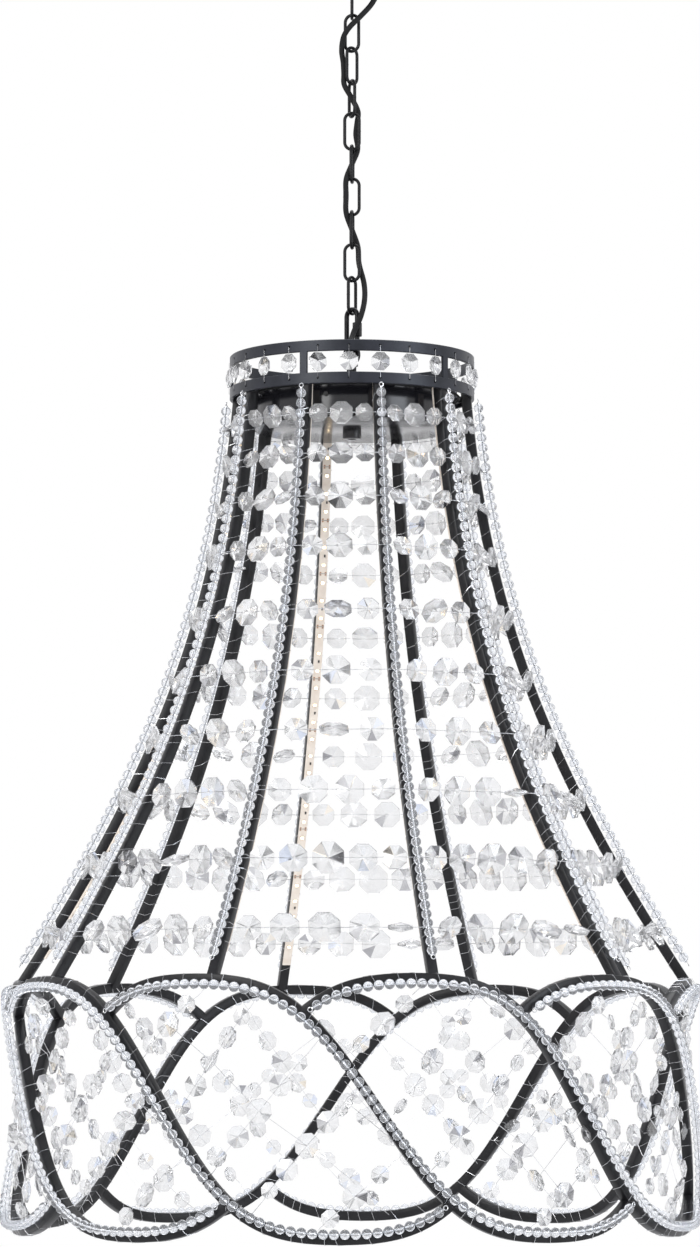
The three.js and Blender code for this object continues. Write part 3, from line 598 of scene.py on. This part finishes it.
def photo_camera():
    data = bpy.data.cameras.new("camera")
    data.sensor_width, data.lens = SENSOR, CAMERA_LENS
    data.clip_start, data.clip_end = CLIP
    camera = added("camera", data)
    sideways = AXIS_PIXELS_RIGHT * SENSOR / (IMAGE_HEIGHT * CAMERA_LENS) * CAMERA_DISTANCE
    camera.location = (-sideways, -CAMERA_DISTANCE, CAMERA_HEIGHT)
    camera.rotation_euler = (math.radians(90 + CAMERA_TILT), 0, 0)
    bpy.context.scene.camera = camera
    bpy.context.scene.view_settings.view_transform = "Standard"


photo_camera()


# Canopy


def canopy():
    outer, inner = [], []
    for i in range(CANOPY_STEPS + 1):
        t = i / CANOPY_STEPS
        start, middle, end = (1 - t) ** 2, 2 * (1 - t) * t, t * t
        r = start * CANOPY_RADIUS + middle * (CANOPY_RADIUS - SHOULDER_IN)
        r += end * CANOPY_FACE_RADIUS
        z = -(middle * (CANOPY_HEIGHT - SHOULDER_UP) + end * CANOPY_HEIGHT)
        outer.append((r, z))
        inner.append((r - CANOPY_WALL, z + CANOPY_WALL * t))
    bore = STEM_RADIUS + SEAT_GAP
    hole = [(bore, -CANOPY_HEIGHT), (bore, -CANOPY_HEIGHT + CANOPY_WALL)]
    outline = outer + hole + inner[::-1]
    turned_piece(
        "canopy", outline, 96, [SATIN_BLACK], ["canopy_cup"], "satin_black", "ceiling", 50
    )


def canopy_loop():
    """Loop under the canopy, with its collar and stem."""
    shape = Shape()
    top = -CANOPY_HEIGHT - SEAT_GAP
    bottom = top - COLLAR_HEIGHT
    stem = [(STEM_RADIUS, STEM_TOP), (STEM_RADIUS, bottom + STEM_OVERLAP)]
    turned(shape, stem, sides=24, closed=False)
    collar = bevelled(INSIDE, COLLAR_RADIUS, bottom, top, COLLAR_LOW_BEVEL, COLLAR_BEVEL)
    turned(shape, collar, sides=40)
    ring(shape, LOOP_RADIUS, LOOP_WIRE / 2, LOOP_CENTRE, LOOP_TURN)
    piece("loop", shape, [CHAIN_BLACK], ["canopy_loop"], "black_steel", "ceiling")


def cord_grip():
    bore, neck, face = CORD_RADIUS + CORD_GAP, GRIP_RADIUS / 2, -CANOPY_HEIGHT - SEAT_GAP
    low = face - (GRIP_HEIGHT - neck) / 2
    high = low + GRIP_HEIGHT
    outline = [
        (bore, low), *edge(GRIP_RADIUS, low, GRIP_EDGE),
        (GRIP_RADIUS, face), (neck, face), (neck, high), (bore, high),
    ]
    turned_piece(
        "cord_grip", outline, 32, [PLASTIC], ["canopy_cord_grip"], "black_plastic", "ceiling",
        centre=(GRIP_OFFSET, 0),
    )


# Chain, quick link and eye


def oval(wire_size, length, width, centre, turn):
    """Points of an upright oval of wire: its upper half, then its lower one."""
    radius = (width + wire_size) / 2
    rise = (length + wire_size) / 2 - radius
    across = plane_direction(turn)
    points = []
    for half, lift in ((0, rise), (1, -rise)):
        for i in range(OVAL_STEPS):
            a = math.pi * (half + i / (OVAL_STEPS - 1))
            height = centre + radius * math.sin(a) + lift
            points.append(across * radius * math.cos(a) + UP * height)
    return points


def chain():
    for i, turn in enumerate(LINK_TURNS):
        middle = UP * (FIRST_LINK_CENTRE - LINK_PITCH * i)
        across = plane_direction(turn)
        points = oval(LINK_WIRE, LINK_LENGTH, LINK_WIDTH, middle[2], turn)
        rays = []
        for point in points:
            local = point - middle
            rays.append(unit(local - UP * np.clip(local[2], -LINK_STRAIGHT, LINK_STRAIGHT)))
        sideways = [np.cross(UP, across)] * len(points)
        shape = Shape()
        sweep(shape, circle(LINK_WIRE / 2, 12), points, rays, sideways, closed=True)
        weld = middle - across * (LINK_WIDTH + LINK_WIRE) / 2
        proud = LINK_WIRE / 2 + SEAM_PROUD
        seam = [
            (SEAM_CORE, SEAM_REACH), (proud, SEAM_FLAT), (proud, -SEAM_FLAT), (SEAM_CORE, -SEAM_REACH)
        ]
        turned(shape, [(r, weld[2] + z) for r, z in seam], sides=12, centre=weld[:2])
        node = f"chain_link_{i + 1:02d}"
        piece(f"link_{i + 1:02d}", shape, [CHAIN_BLACK], [node], "black_steel", BODY_OF[node])


def quick_link():
    """Oval with a mouth and a thread on one side, and the sleeve on that side."""
    leg = plane_direction(QUICK_TURN) * (QUICK_WIDTH + QUICK_WIRE) / 2
    points = oval(QUICK_WIRE, QUICK_LENGTH, QUICK_WIDTH, QUICK_CENTRE, QUICK_TURN)
    top, bottom = QUICK_MOUTH_MIDDLE + MOUTH / 2, QUICK_MOUTH_MIDDLE - MOUTH / 2
    shape = Shape()
    wire(shape, [leg + UP * top, *points, leg + UP * bottom], QUICK_WIRE / 2, 14)
    crest = QUICK_WIRE / 2 + THREAD_PROUD
    for i in range(THREAD_TURNS):
        z = bottom - THREAD_START - THREAD_PITCH * i
        thread = [(INSIDE, z + THREAD_REACH), (crest, z), (INSIDE, z - THREAD_REACH)]
        turned(shape, thread, sides=16, centre=leg[:2])
    piece("quick_link_body", shape, [CHAIN_BLACK], ["quick_link"], "black_steel", "quick")
    shape = Shape()
    top, bottom = QUICK_CENTRE + SLEEVE_LENGTH / 2, QUICK_CENTRE - SLEEVE_LENGTH / 2
    bore = QUICK_WIRE / 2 + SLEEVE_GAP
    hexagon(shape, SLEEVE_RADIUS + SLEEVE_CORNER, top, bottom, leg[:2], bore)
    piece("sleeve_nut", shape, [CHAIN_BLACK], ["quick_link_sleeve"], "black_steel", "sleeve")


def lifting_eye():
    shape = Shape()
    ring(shape, EYE_RADIUS, EYE_ROD / 2, EYE_CENTRE, EYE_TURN)
    neck = EYE_CENTRE - EYE_RADIUS
    foot = COVER_NUT_TOP - COVER_NUT_HEIGHT + STUD_SHORT
    stud = [(STUD_RADIUS, neck), (STUD_RADIUS, foot + STUD_BEVEL), (STUD_RADIUS - STUD_BEVEL, foot)]
    turned(shape, stud, sides=24, closed=False)
    reach, low = STUD_RADIUS + FLANGE_REACH, neck - FLANGE_HEIGHT
    flange = [(INSIDE, neck), (reach, neck - FLANGE_REACH), (reach, low), (INSIDE, low)]
    turned(shape, flange, sides=28)
    seat = CROSS_TOP + SEAT_GAP
    hexagon(shape, STUD_NUT_RADIUS, seat + STUD_NUT_HEIGHT, seat)
    piece("eye", shape, [CHAIN_BLACK], ["lifting_eye"], "black_steel")


# Supply cord


def between(t, start, end, a, b):
    """Goes from a to b as t goes from start to end."""
    return (end - t) / (end - start) * a + (t - start) / (end - start) * b


def smooth_line(points, steps):
    """Centripetal curve through points."""
    p = np.array(points, float)
    p = np.vstack([2 * p[0] - p[1], p, 2 * p[-1] - p[-2]])
    knots = np.concatenate([[0], np.cumsum(np.sqrt(np.linalg.norm(np.diff(p, axis=0), axis=1)))])
    out = []
    for i in range(1, len(p) - 2):
        t0, t1, t2, t3 = knots[i - 1:i + 3]
        for t in np.linspace(t1, t2, steps, endpoint=i == len(p) - 3):
            a1 = between(t, t0, t1, p[i - 1], p[i])
            a2 = between(t, t1, t2, p[i], p[i + 1])
            a3 = between(t, t2, t3, p[i + 1], p[i + 2])
            b1 = between(t, t0, t2, a1, a2)
            b2 = between(t, t1, t3, a2, a3)
            out.append(between(t, t1, t2, b1, b2))
    return np.array(out)


def supply_cord():
    """The cord in stretches that each reach across one joint of the chain."""
    line = smooth_line(CORD_POINTS, CORD_STEPS)
    xs, ys = carried(line)
    hinges = [j for j in frame["joints"] if j["type"] == "hinge"]
    joints = sorted(hinges, key=lambda j: -j["pos_m"][2])
    levels = [j["pos_m"][2] / MM for j in joints]
    splits = [(a + b) / 2 for a, b in zip(levels, levels[1:])]
    cuts = [0, *(np.argmin(abs(line[:, 2] - split)) for split in splits), len(line) - 1]
    for i, (joint, level) in enumerate(zip(joints, levels)):
        part = slice(cuts[i], cuts[i + 1] + 1)
        shape = Shape()
        sweep(shape, circle(CORD_RADIUS, 18), line[part], xs[part], ys[part])
        name = f"cord_{i + 1:02d}"
        obj = piece(name, shape, [CORD], ["supply_cord"], "cord_black", None, 60)
        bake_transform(obj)


# Crown and drum


def crown_places():
    """Angle and turn of each crystal in the crown."""
    draws = random.Random(CROWN_SEED)
    places = []
    for post in range(POST_COUNT):
        for i in range(WINDOW_CRYSTALS):
            share = post + (i + 0.5) / WINDOW_CRYSTALS
            turns = SQUARE_TURNS if draws.random() < SQUARE_SHARE else AWAY_TURNS
            places.append((FIRST_POST_ANGLE + 360 / POST_COUNT * share, draws.uniform(*turns)))
    return places


def drilled_hoops():
    """Mesh of the two hoops, with a blind hole for each end of each crystal's wire."""
    shape, drills = Shape(), Shape()
    for top in HOOP_TOPS:
        inner, bottom = HOOP_RADIUS - HOOP_THICKNESS, top - HOOP_HEIGHT
        turned(shape, bevelled(inner, HOOP_RADIUS, bottom, top, HOOP_BEVEL), sides=160)
    for angle, _ in crown_places():
        for top in HOOP_TOPS:
            out = outward(angle)
            middle = out * HOOP_RADIUS + UP * (top - HOOP_HEIGHT / 2)
            ends = [middle - out * HOLE_DEPTH, middle + out * DRILL_REACH]
            wire(drills, ends, HOLE_RADIUS, 12)
    hoops = piece("hoops", shape, [SATIN_BLACK], body=None)
    cutter = piece("drills", drills, [SATIN_BLACK], body=None)
    modifier = hoops.modifiers.new("holes", "BOOLEAN")
    modifier.operation, modifier.object, modifier.solver = "DIFFERENCE", cutter, "EXACT"
    bpy.context.view_layer.update()
    scene_state = bpy.context.evaluated_depsgraph_get()
    drilled = bpy.data.meshes.new_from_object(hoops.evaluated_get(scene_state))
    bpy.data.objects.remove(hoops)
    bpy.data.objects.remove(cutter)
    return drilled


def crown():
    shape = Shape()
    drilled = drilled_hoops()
    points = np.array([v.co for v in drilled.vertices]) / MM
    shape.put(points, [list(p.vertices) for p in drilled.polygons])
    gap = HOOP_SPACING - HOOP_HEIGHT
    size = (POST_WIDTH, HOOP_THICKNESS - POST_THINNER, gap + POST_OVERLAP)
    for i in range(POST_COUNT):
        angle = FIRST_POST_ANGLE + 360 / POST_COUNT * i
        out = outward(angle)
        middle = out * (HOOP_RADIUS - HOOP_THICKNESS / 2) + UP * (HOOP_TOP + gap / 2)
        block(shape, size, middle, outward(angle + 90), out, fillet=POST_FILLET)
    # The crown takes the satin black with its painted bluish sheen
    piece("crown", shape, [HOOP_BLACK_PAINTED_SHEEN], ["crown_ring"], "satin_black")


def drum():
    r, inner, bore = DRUM_RADIUS, DRUM_RADIUS - DRUM_WALL, STUD_RADIUS + SEAT_GAP
    roof = DRUM_TOP - DRUM_WALL
    outline = [
        (bore, DRUM_TOP), *edge(r, DRUM_TOP, DRUM_EDGE, -1), (r, DRUM_BOTTOM),
        (inner, DRUM_BOTTOM), (inner, roof), (bore, roof),
    ]
    turned_piece("drum", outline, 128, [GLOSS_BLACK], ["driver_housing"], "satin_black")


def washer(gap, radius, top, height, steps):
    """Outline of a disc round the stud, with a rounded lower edge."""
    bore, low = STUD_RADIUS + gap, top - height
    return [(bore, top), (radius, top), *edge(radius, low, steps)[::-1], (bore, low)]


def cover():
    outline = washer(SEAT_GAP, DRUM_RADIUS, COVER_TOP, COVER_THICKNESS, COVER_EDGE)
    turned_piece("cover", outline, 128, [GLOSS_BLACK], ["housing_cover"], "satin_black")


def cover_nut():
    size = (COVER_NUT_RADIUS, COVER_NUT_TOP, COVER_NUT_HEIGHT, COVER_NUT_EDGE)
    outline = washer(COVER_NUT_GAP, *size)
    turned_piece("cover_nut_body", outline, 48, [GLOSS_BLACK], ["cover_nut"], "black_steel")


def cord_gland():
    """Domed gland, whose neck of half its radius goes through the drum's top."""
    place = outward(GLAND_ANGLE) * GLAND_OFFSET
    seat, neck, bore = DRUM_TOP + SEAT_GAP, GLAND_RADIUS / 2, CORD_RADIUS + CORD_GAP
    shoulder, top = seat + GLAND_HEIGHT / 2, seat + GLAND_HEIGHT
    outline = [
        (bore, seat - neck), (neck, seat - neck), (neck, seat), (GLAND_RADIUS, seat),
        (GLAND_RADIUS, shoulder), (GLAND_RADIUS - GLAND_BEVEL, shoulder + GLAND_BEVEL),
        (neck + GLAND_DOME, top - GLAND_BEVEL), (neck + GLAND_LIP, top), (bore, top),
    ]
    turned_piece(
        "cord_gland", outline, 12, [PLASTIC], ["housing_cord_gland"], "black_plastic",
        centre=place[:2],
    )


def drum_screws():
    """Screws with a socket, one to every second rib."""
    shape = Shape()
    for angle in RIB_ANGLES[::2]:
        out = outward(angle - SCREW_BACK)
        middle = out * DRUM_RADIUS + UP * (DRUM_TOP - SCREW_DROP)
        for levels, radius in ((SCREW_LEVELS, SCREW_RADIUS), (SOCKET_LEVELS, SOCKET_RADIUS)):
            wire(shape, [middle + out * level for level in levels], radius, 12)
    piece("drum_screws", shape, [CHAIN_BLACK], (), "black_steel")


# Frame arms, strands and binding wire


def frame_arm(index, angle):
    """A rib and the wave that sweeps away from its foot."""
    shape = Shape()
    section = rounded(BAR, BAR, BAR_FILLET)
    line = rib_line(angle, 0)
    places = [line.place(s) for s in line.run]
    at = line.at.copy()
    at[0] = at[0] - UP * RIB_TOP_GAP
    sweep(shape, section, at, [p[1] for p in places], [p[2] for p in places])
    line = wave_line(angle, 0)
    inner = (line.run > WAVE_CUT + 1) & (line.run < line.length - WAVE_CUT - 1)
    stations = [WAVE_CUT, *line.run[inner], line.length - WAVE_CUT]
    at, outs, sides, _ = zip(*(line.place(s) for s in stations))
    sizes = [WAVE_END_SIZE, *[1] * (len(at) - 2), WAVE_END_SIZE]
    sweep(shape, section, at, outs, sides, sizes=sizes)
    node = f"frame_arm_{index + 1:02d}"
    piece(f"arm_{index + 1:02d}", shape, [SATIN_BLACK], [node], "satin_black")


def bead_template():
    """Points and faces of a round bead with a bore along z."""
    pole = math.acos(BEAD_BORE / BEAD_RADIUS)
    outline = [
        (max(BEAD_BORE, BEAD_RADIUS * math.cos(t)), BEAD_RADIUS * math.sin(t))
        for t in np.linspace(-pole, pole, BEAD_RINGS)
    ]
    shape = Shape()
    turned(shape, outline, BEAD_SIDES)
    return np.concatenate(shape.points), shape.faces


BEAD_POINTS, BEAD_FACES = bead_template()


def knot(shape, place, heading):
    """End of a strand: a loop of its wire and a crimp."""
    at, out, side, ahead = place
    ahead = heading * ahead
    points = []
    for i in range(KNOT_STEPS):
        a = 2 * math.pi * i / KNOT_STEPS
        flat = at + ahead * KNOT_RADIUS * math.cos(a) + side * KNOT_RADIUS * math.sin(a)
        points.append(flat + out * KNOT_RISE * math.sin(a / 2))
    wire(shape, points, KNOT_WIRE, 6, closed=True, paint=METAL)
    crimp = [at - ahead * back for back in CRIMP_PLACES]
    wire(shape, crimp, CRIMP_RADIUS, 8, paint=METAL)


def strand(shape, line, start, end):
    """Beads on a wire between two distances along a line, with a knot at each end.

    Returns the distance at which the first bead starts.
    """
    count = int((end - start) / BEAD_PITCH)
    first = start + (end - start - (count - 1) * BEAD_PITCH) / 2
    for i in range(count):
        at, out, side, ahead = line.place(first + i * BEAD_PITCH)
        spin = random.uniform(0, math.pi)
        x = out * math.cos(spin) + side * math.sin(spin)
        turn = np.stack([x, np.cross(ahead, x), ahead])
        shape.put(at + random.uniform(*BEAD_SIZES) * BEAD_POINTS @ turn, BEAD_FACES)
    begin, until = first - BEAD_PITCH / 2, first + (count - 0.5) * BEAD_PITCH
    stations = np.arange(begin - 1, until + 1, STRAND_WIRE_STEP)
    wire(shape, [line.place(s)[0] for s in stations], STRAND_WIRE, 5, paint=METAL)
    knot(shape, line.place(begin - KNOT_PLACE), -1)
    knot(shape, line.place(until + KNOT_PLACE), 1)
    return begin


def winding(shape, line, strand_line, first, end):
    """Thin wire that binds a strand to its bar: turns over the strand and the bar's corners."""
    corner = BAR / 2 + BINDING_GAP
    top = (STRAND_OFFSET, 0.0)
    turn = [top, (corner, corner), (-corner, corner), (-corner, -corner), (corner, -corner)]
    reach = [0]
    for a, b in zip(turn, turn[1:] + turn[:1]):
        reach.append(reach[-1] + math.dist(a, b))
    points = []
    s, pitch = first, FIRST_BINDING * BEAD_PITCH
    while s + pitch < end:
        for place, part in zip(turn, reach):
            station = s + pitch * part / reach[-1]
            at, out, side, _ = line.place(station)
            if place == top:
                points.append(strand_line.point(station * strand_line.length / line.length))
            else:
                points.append(at + out * place[0] + side * place[1])
        s += pitch
        pitch = random.choice(BINDINGS) * BEAD_PITCH
    wire(shape, points, BINDING_WIRE, 4, paint=METAL)


def strands(index, angle):
    shape = Shape()
    line, middle = rib_line(angle, STRAND_OFFSET), rib_line(angle, 0)
    under_hoop = -(HOOP_TOP - HOOP_HEIGHT - STRAND_TOP_GAP)
    start = float(np.interp(under_hoop, -line.at[:, 2], line.run))
    first = strand(shape, line, start, line.length - RIB_STRAND_END)
    begin = first * (middle.length / line.length) + RIB_ENDS[0]
    winding(shape, middle, line, begin, middle.length - RIB_ENDS[1])
    line, middle = wave_line(angle, STRAND_OFFSET, STRAND_PULL), wave_line(angle, 0)
    first = strand(shape, line, WAVE_STRAND_END, line.length - WAVE_STRAND_END)
    begin = first + WAVE_ENDS[0]
    winding(shape, middle, line, begin, middle.length - WAVE_ENDS[1])
    node = f"bead_strand_{index + 1:02d}"
    piece(f"beads_{index + 1:02d}", shape, STRUNG_BEADS, [node], "bead_glass", sharp=40)


# Crystals


def crystal(shape, at, along, face, width, dark=DARK_REFLECTION_WEIGHT):
    """Octagonal crystal on a wire: eight facets meet in the middle of each side."""
    along = unit(along)
    face = unit(face - along * (face @ along))
    flat = np.cross(face, along)
    sides, step = CRYSTAL_SIDES, 2 * math.pi / CRYSTAL_SIDES
    reach = width / 2 / math.cos(step / 2)
    half = width * CRYSTAL_THICKNESS / 2
    girdle = GIRDLE_SHARE * half
    points = []
    for level in (girdle, -girdle):
        for i in range(sides):
            a = step / 2 + step * i
            ray = along * reach * math.cos(a)
            points.append(at + ray + flat * reach * math.sin(a) + face * level)
    points += [at + face * half, at - face * half]
    after = [(i + 1) % sides for i in range(sides)]
    faces = [[i, after[i], 2 * sides] for i in range(sides)]
    faces += [[sides + after[i], sides + i, 2 * sides + 1] for i in range(sides)]
    faces += [[i, sides + i, sides + after[i], after[i]] for i in range(sides)]
    # Some facets get a painted blue or amber glint, and some a painted dark reflection
    paints = random.choices(FACET_PAINTS, (*FACET_WEIGHTS, dark), k=len(faces))
    shape.put(points, faces, paints)


def crystal_widths(count, least, most):
    """Widths of the crystals on a string, largest in the middle."""
    shares = [math.sin(math.pi * (i + 0.5) / count) ** 2 for i in range(count)]
    return [least + (most - least) * share for share in shares]


def spun(facing, along, spread_angle, loose):
    """Turns a facing direction about the wire: most nearly face out, a loose share any way."""
    a = math.radians(random.gauss(0, spread_angle))
    if random.random() < loose:
        a = random.uniform(0, math.pi)
    return facing * math.cos(a) + np.cross(along, facing) * math.sin(a)


def crystal_row(row):
    """Crystals on one wire round the bell, outside the ribs."""
    shape = Shape()
    height = HOOP_TOP - BELL_HEIGHT * ROW_DROPS[row]
    line = rib_line(0, WIRE_OFFSET)
    radius = float(np.interp(-height, -line.at[:, 2], -line.at[:, 1]))
    down = row / (len(ROW_DROPS) - 1)
    limits = [top + (low - top) * down for top, low in zip(TOP_CRYSTALS, LOW_CRYSTALS)]
    widths = crystal_widths(ROW_COUNTS[row], *limits)
    path = []
    for angle in RIB_ANGLES:
        start = outward(angle) * radius + UP * height + outward(angle + 90) * BAR / 2
        after = angle + RIB_SPACING
        end = outward(after) * radius - outward(after + 90) * BAR / 2 + UP * height
        path += [start, end]
        length = np.linalg.norm(end - start)
        along = (end - start) / length
        facing = unit(np.cross(along, UP))
        space = (length - sum(widths)) / (len(widths) + 1)
        s = space
        for width in widths:
            middle = start + along * (s + width / 2)
            face = spun(facing, along, *ROW_SPIN)
            crystal(shape, middle, along, face, width * random.uniform(*ROW_SIZES))
            s += width + space
    wire(shape, path, ROW_WIRE, 5, closed=True, paint=METAL)
    node = f"crystal_row_{row + 1:02d}"
    piece(f"row_{row + 1:02d}", shape, STRUNG_GLASS, [node], "clear_glass", sharp=5)


def crown_crystals():
    """Crystals on upright wires, whose ends are in the hoops' holes."""
    shape = Shape()
    finishes = STRUNG_GLASS + [FINE_WIRE]
    middle = HOOP_TOP + (HOOP_SPACING - HOOP_HEIGHT) / 2
    rise = UP * (HOOP_SPACING / 2)
    for angle, turn in crown_places():
        out = outward(angle)
        at = out * (HOOP_RADIUS + CROWN_PROUD) + UP * middle
        # Crown crystals get more facets with a painted dark reflection
        crystal(shape, at, UP, outward(angle + turn), CROWN_CRYSTAL, CROWN_DARK_REFLECTION_WEIGHT)
        inward = out * CROWN_WIRE_END
        ends = [at + rise - inward, at + rise, at - rise, at - rise - inward]
        wire(shape, ends, CROWN_WIRE, 5, paint=finishes.index(FINE_WIRE))
    piece("crown_crystals", shape, finishes, (), "clear_glass", sharp=5)


def strung(shape, start, end, widths):
    """Spreads crystals of these widths between two points and returns their places."""
    length = np.linalg.norm(end - start)
    along = (end - start) / length
    space = (length - sum(widths)) / len(widths)
    s = space / 2
    places = []
    for width in widths:
        point = start + along * (s + width / 2)
        at = outward_at(point) * BAND_RADIUS + UP * point[2]
        facing = outward_at(at)
        facing = unit(facing - along * (facing @ along))
        crystal(shape, at, along, spun(facing, along, *NET_SPIN), width)
        places.append(at)
        s += width + space
    return places


def rim_net(index, angle):
    """Strings of crystals between two waves, crossed by a wire through their middle crystals."""
    shape = Shape()
    next_angle = angle + RIB_SPACING
    middles, tops = [], []
    for (low, high), count, (bare_low, bare_high) in zip(NET_PHASES, NET_COUNTS, NET_BARE):
        start = wave_point(angle, -WIRE_OFFSET, low)[0]
        end = wave_point(next_angle, -WIRE_OFFSET, high)[0]
        along = unit(end - start)
        first, last = start + along * bare_low, end - along * bare_high
        places = strung(shape, first, last, crystal_widths(count, *NET_CRYSTALS))
        wire(shape, [start, first, *places, last, end], NET_WIRE, 5, paint=METAL)
        middles.append(places[count // 2])
        tops.append(places[-1])
    wire(shape, middles, NET_WIRE, 5, paint=METAL)
    bare = NET_MIDDLE_BARE * unit(middles[2] - middles[1])
    strung(shape, middles[1] + bare, middles[2] - bare, NET_BETWEEN)
    top, bar = tops[3], wave_point(next_angle, -WIRE_OFFSET, NET_PHASES[-1][1])[0]
    bare = NET_TOP_BARE * unit(bar - top)
    places = strung(shape, top + bare, bar - bare, NET_BETWEEN)
    wire(shape, [top, *places, bar], NET_WIRE, 5, paint=METAL)
    name = f"rim_crystals_{index + 1:02d}"
    piece(name, shape, STRUNG_GLASS, ["rim_crystals"], "clear_glass", sharp=5)


# Light strips


def strip_lights(shape, line):
    s = FIRST_LIGHT * LIGHT_PITCH
    while s < line.length - LAST_LIGHT:
        at, out, side, ahead = line.place(s)
        for paint, (size, rise, fillet) in enumerate(CHIP_LAYERS):
            block(shape, size, at - out * (STRIP_FACE + rise), side, ahead, paint, fillet)
        s += LIGHT_PITCH


def strip_cuts(shape, line):
    """Cut lines between copper pads, with a resistor before each."""
    s = CUT_PITCH
    while s < line.length - LAST_CUT:
        at, out, side, ahead = line.place(s)
        block(shape, CUT_SIZE, at - out * (STRIP_FACE + CUT_RISE), side, ahead, 3)
        for across in (-PAD_ACROSS, PAD_ACROSS):
            for step in (-PAD_ALONG, PAD_ALONG):
                pad = at - out * STRIP_FACE + side * across + ahead * step
                block(shape, PAD_SIZE, pad, side, ahead, 2)
        at, out, side, ahead = line.place(s - LIGHT_PITCH)
        middle = at - out * (STRIP_FACE + RESISTOR_RISE) + side * RESISTOR_ACROSS
        block(shape, RESISTOR_SIZE, middle, side, ahead, 3)
        s += CUT_PITCH


def light_strips():
    """Strips on the inner faces of ribs, and the ring of wire that feeds them."""
    shape = Shape()
    section = rounded(STRIP_THICKNESS, STRIP_WIDTH, STRIP_FILLET, 2)
    for angle in STRIP_ANGLES:
        line = rib_line(angle, -STRIP_OFFSET, STRIP_TOP, STRIP_FOOT)
        places = [line.place(s) for s in line.run]
        sweep(shape, section, line.at, [p[1] for p in places], [p[2] for p in places])
        strip_lights(shape, line)
        strip_cuts(shape, line)
    feed = rib_point(0, -STRIP_OFFSET, FEED_SHARE)[0]
    radius, height = -feed[1] - FEED_RADIUS, feed[2]
    points = [outward(a) * radius + UP * height for a in range(0, 360, 6)]
    wire(shape, points, FEED_RADIUS, 8, closed=True, paint=4)
    finishes = [TAPE, PHOSPHOR, COPPER, CHIP_BLACK, CORD]
    piece("strips", shape, finishes, ["led_strips"], "warm_light")


# Build

canopy()
canopy_loop()
cord_grip()
chain()
quick_link()
lifting_eye()
supply_cord()
crown()
drum()
cover()
cover_nut()
cord_gland()
drum_screws()
for number, rib_angle in enumerate(RIB_ANGLES):
    frame_arm(number, rib_angle)
    strands(number, rib_angle)
    rim_net(number, rib_angle)
for number in range(len(ROW_DROPS)):
    crystal_row(number)
crown_crystals()
light_strips()
for node, material in {
    "ceiling_crossbar": ZINC,
    "hanger_cross": SATIN_BLACK,
    "led_driver_left": DRIVER,
    "led_driver_right": DRIVER,
}.items():
    for slot in frame["nodes"][node].material_slots:
        slot.material = material


# Floor, light and background


def stage():
    mesh = bpy.data.meshes.new("floor")
    low, high = -FLOOR_REACH, FLOOR_REACH
    corners = ((low, low), (high, low), (high, high), (low, high))
    mesh.from_pydata([(x, y, FLOOR_LEVEL) for x, y in corners], [], [[0, 1, 2, 3]])
    mesh.materials.append(finish(
        "pale_floor", (0.93, 0.93, 0.93), (0.9, 0.9, 0.9), (0.6, 0.7), 2, 0.02, 40,
        emission=(1, 1, 1, 0.2),
    ))
    floor = added("floor", mesh)


def softbox(name, place, size, power, colour=(1, 1, 1)):
    """Rectangular light that faces the lamp."""
    data = bpy.data.lights.new(name, "AREA")
    data.shape, data.size, data.size_y = "RECTANGLE", *size
    data.energy, data.color = power, colour
    light = added(name, data)
    light.location = place
    heading = Vector(LAMP_MIDDLE) - Vector(place)
    light.rotation_euler = heading.to_track_quat("-Z", "Y").to_euler()


def background():
    """Even white studio, with greyer light from high above and straight below for the glass."""
    world = bpy.data.worlds.new("studio")
    bpy.context.scene.world = world
    world.use_nodes = True
    tree = world.node_tree
    nodes, links = tree.nodes, tree.links
    shader = nodes["Background"]
    split = nodes.new("ShaderNodeSeparateXYZ")
    links.new(nodes.new("ShaderNodeTexCoord").outputs["Generated"], split.inputs["Vector"])
    ramp = nodes.new("ShaderNodeValToRGB")
    stops = ramp.color_ramp.elements
    stops[0].color, stops[1].color = (0.86, 0.86, 0.88, 1), (0.72, 0.75, 0.82, 1)
    for position, value in ((0.35, 1.0), (0.68, 1.0), (0.8, 0.85)):
        stops.new(position).color = (value, value, value * 1.02, 1)
    links.new(spread(tree, split.outputs["Z"], -1, 1), ramp.inputs["Fac"])
    seen = nodes.new("ShaderNodeLightPath").outputs["Is Camera Ray"]
    links.new(mixed(tree, seen, ramp.outputs["Color"], (1, 1, 1)), shader.inputs["Color"])
    set_inputs(shader, Strength=1.0)


stage()
background()
softbox("key", place=(-2.2, -2.8, 0.6), size=(1.6, 2.2), power=60)
softbox("fill", place=(2.6, -1.8, -0.2), size=(1.2, 2.2), power=36, colour=(0.86, 0.92, 1.0))
softbox("top", place=(0.2, 0.6, 1.6), size=(2.0, 2.0), power=40)
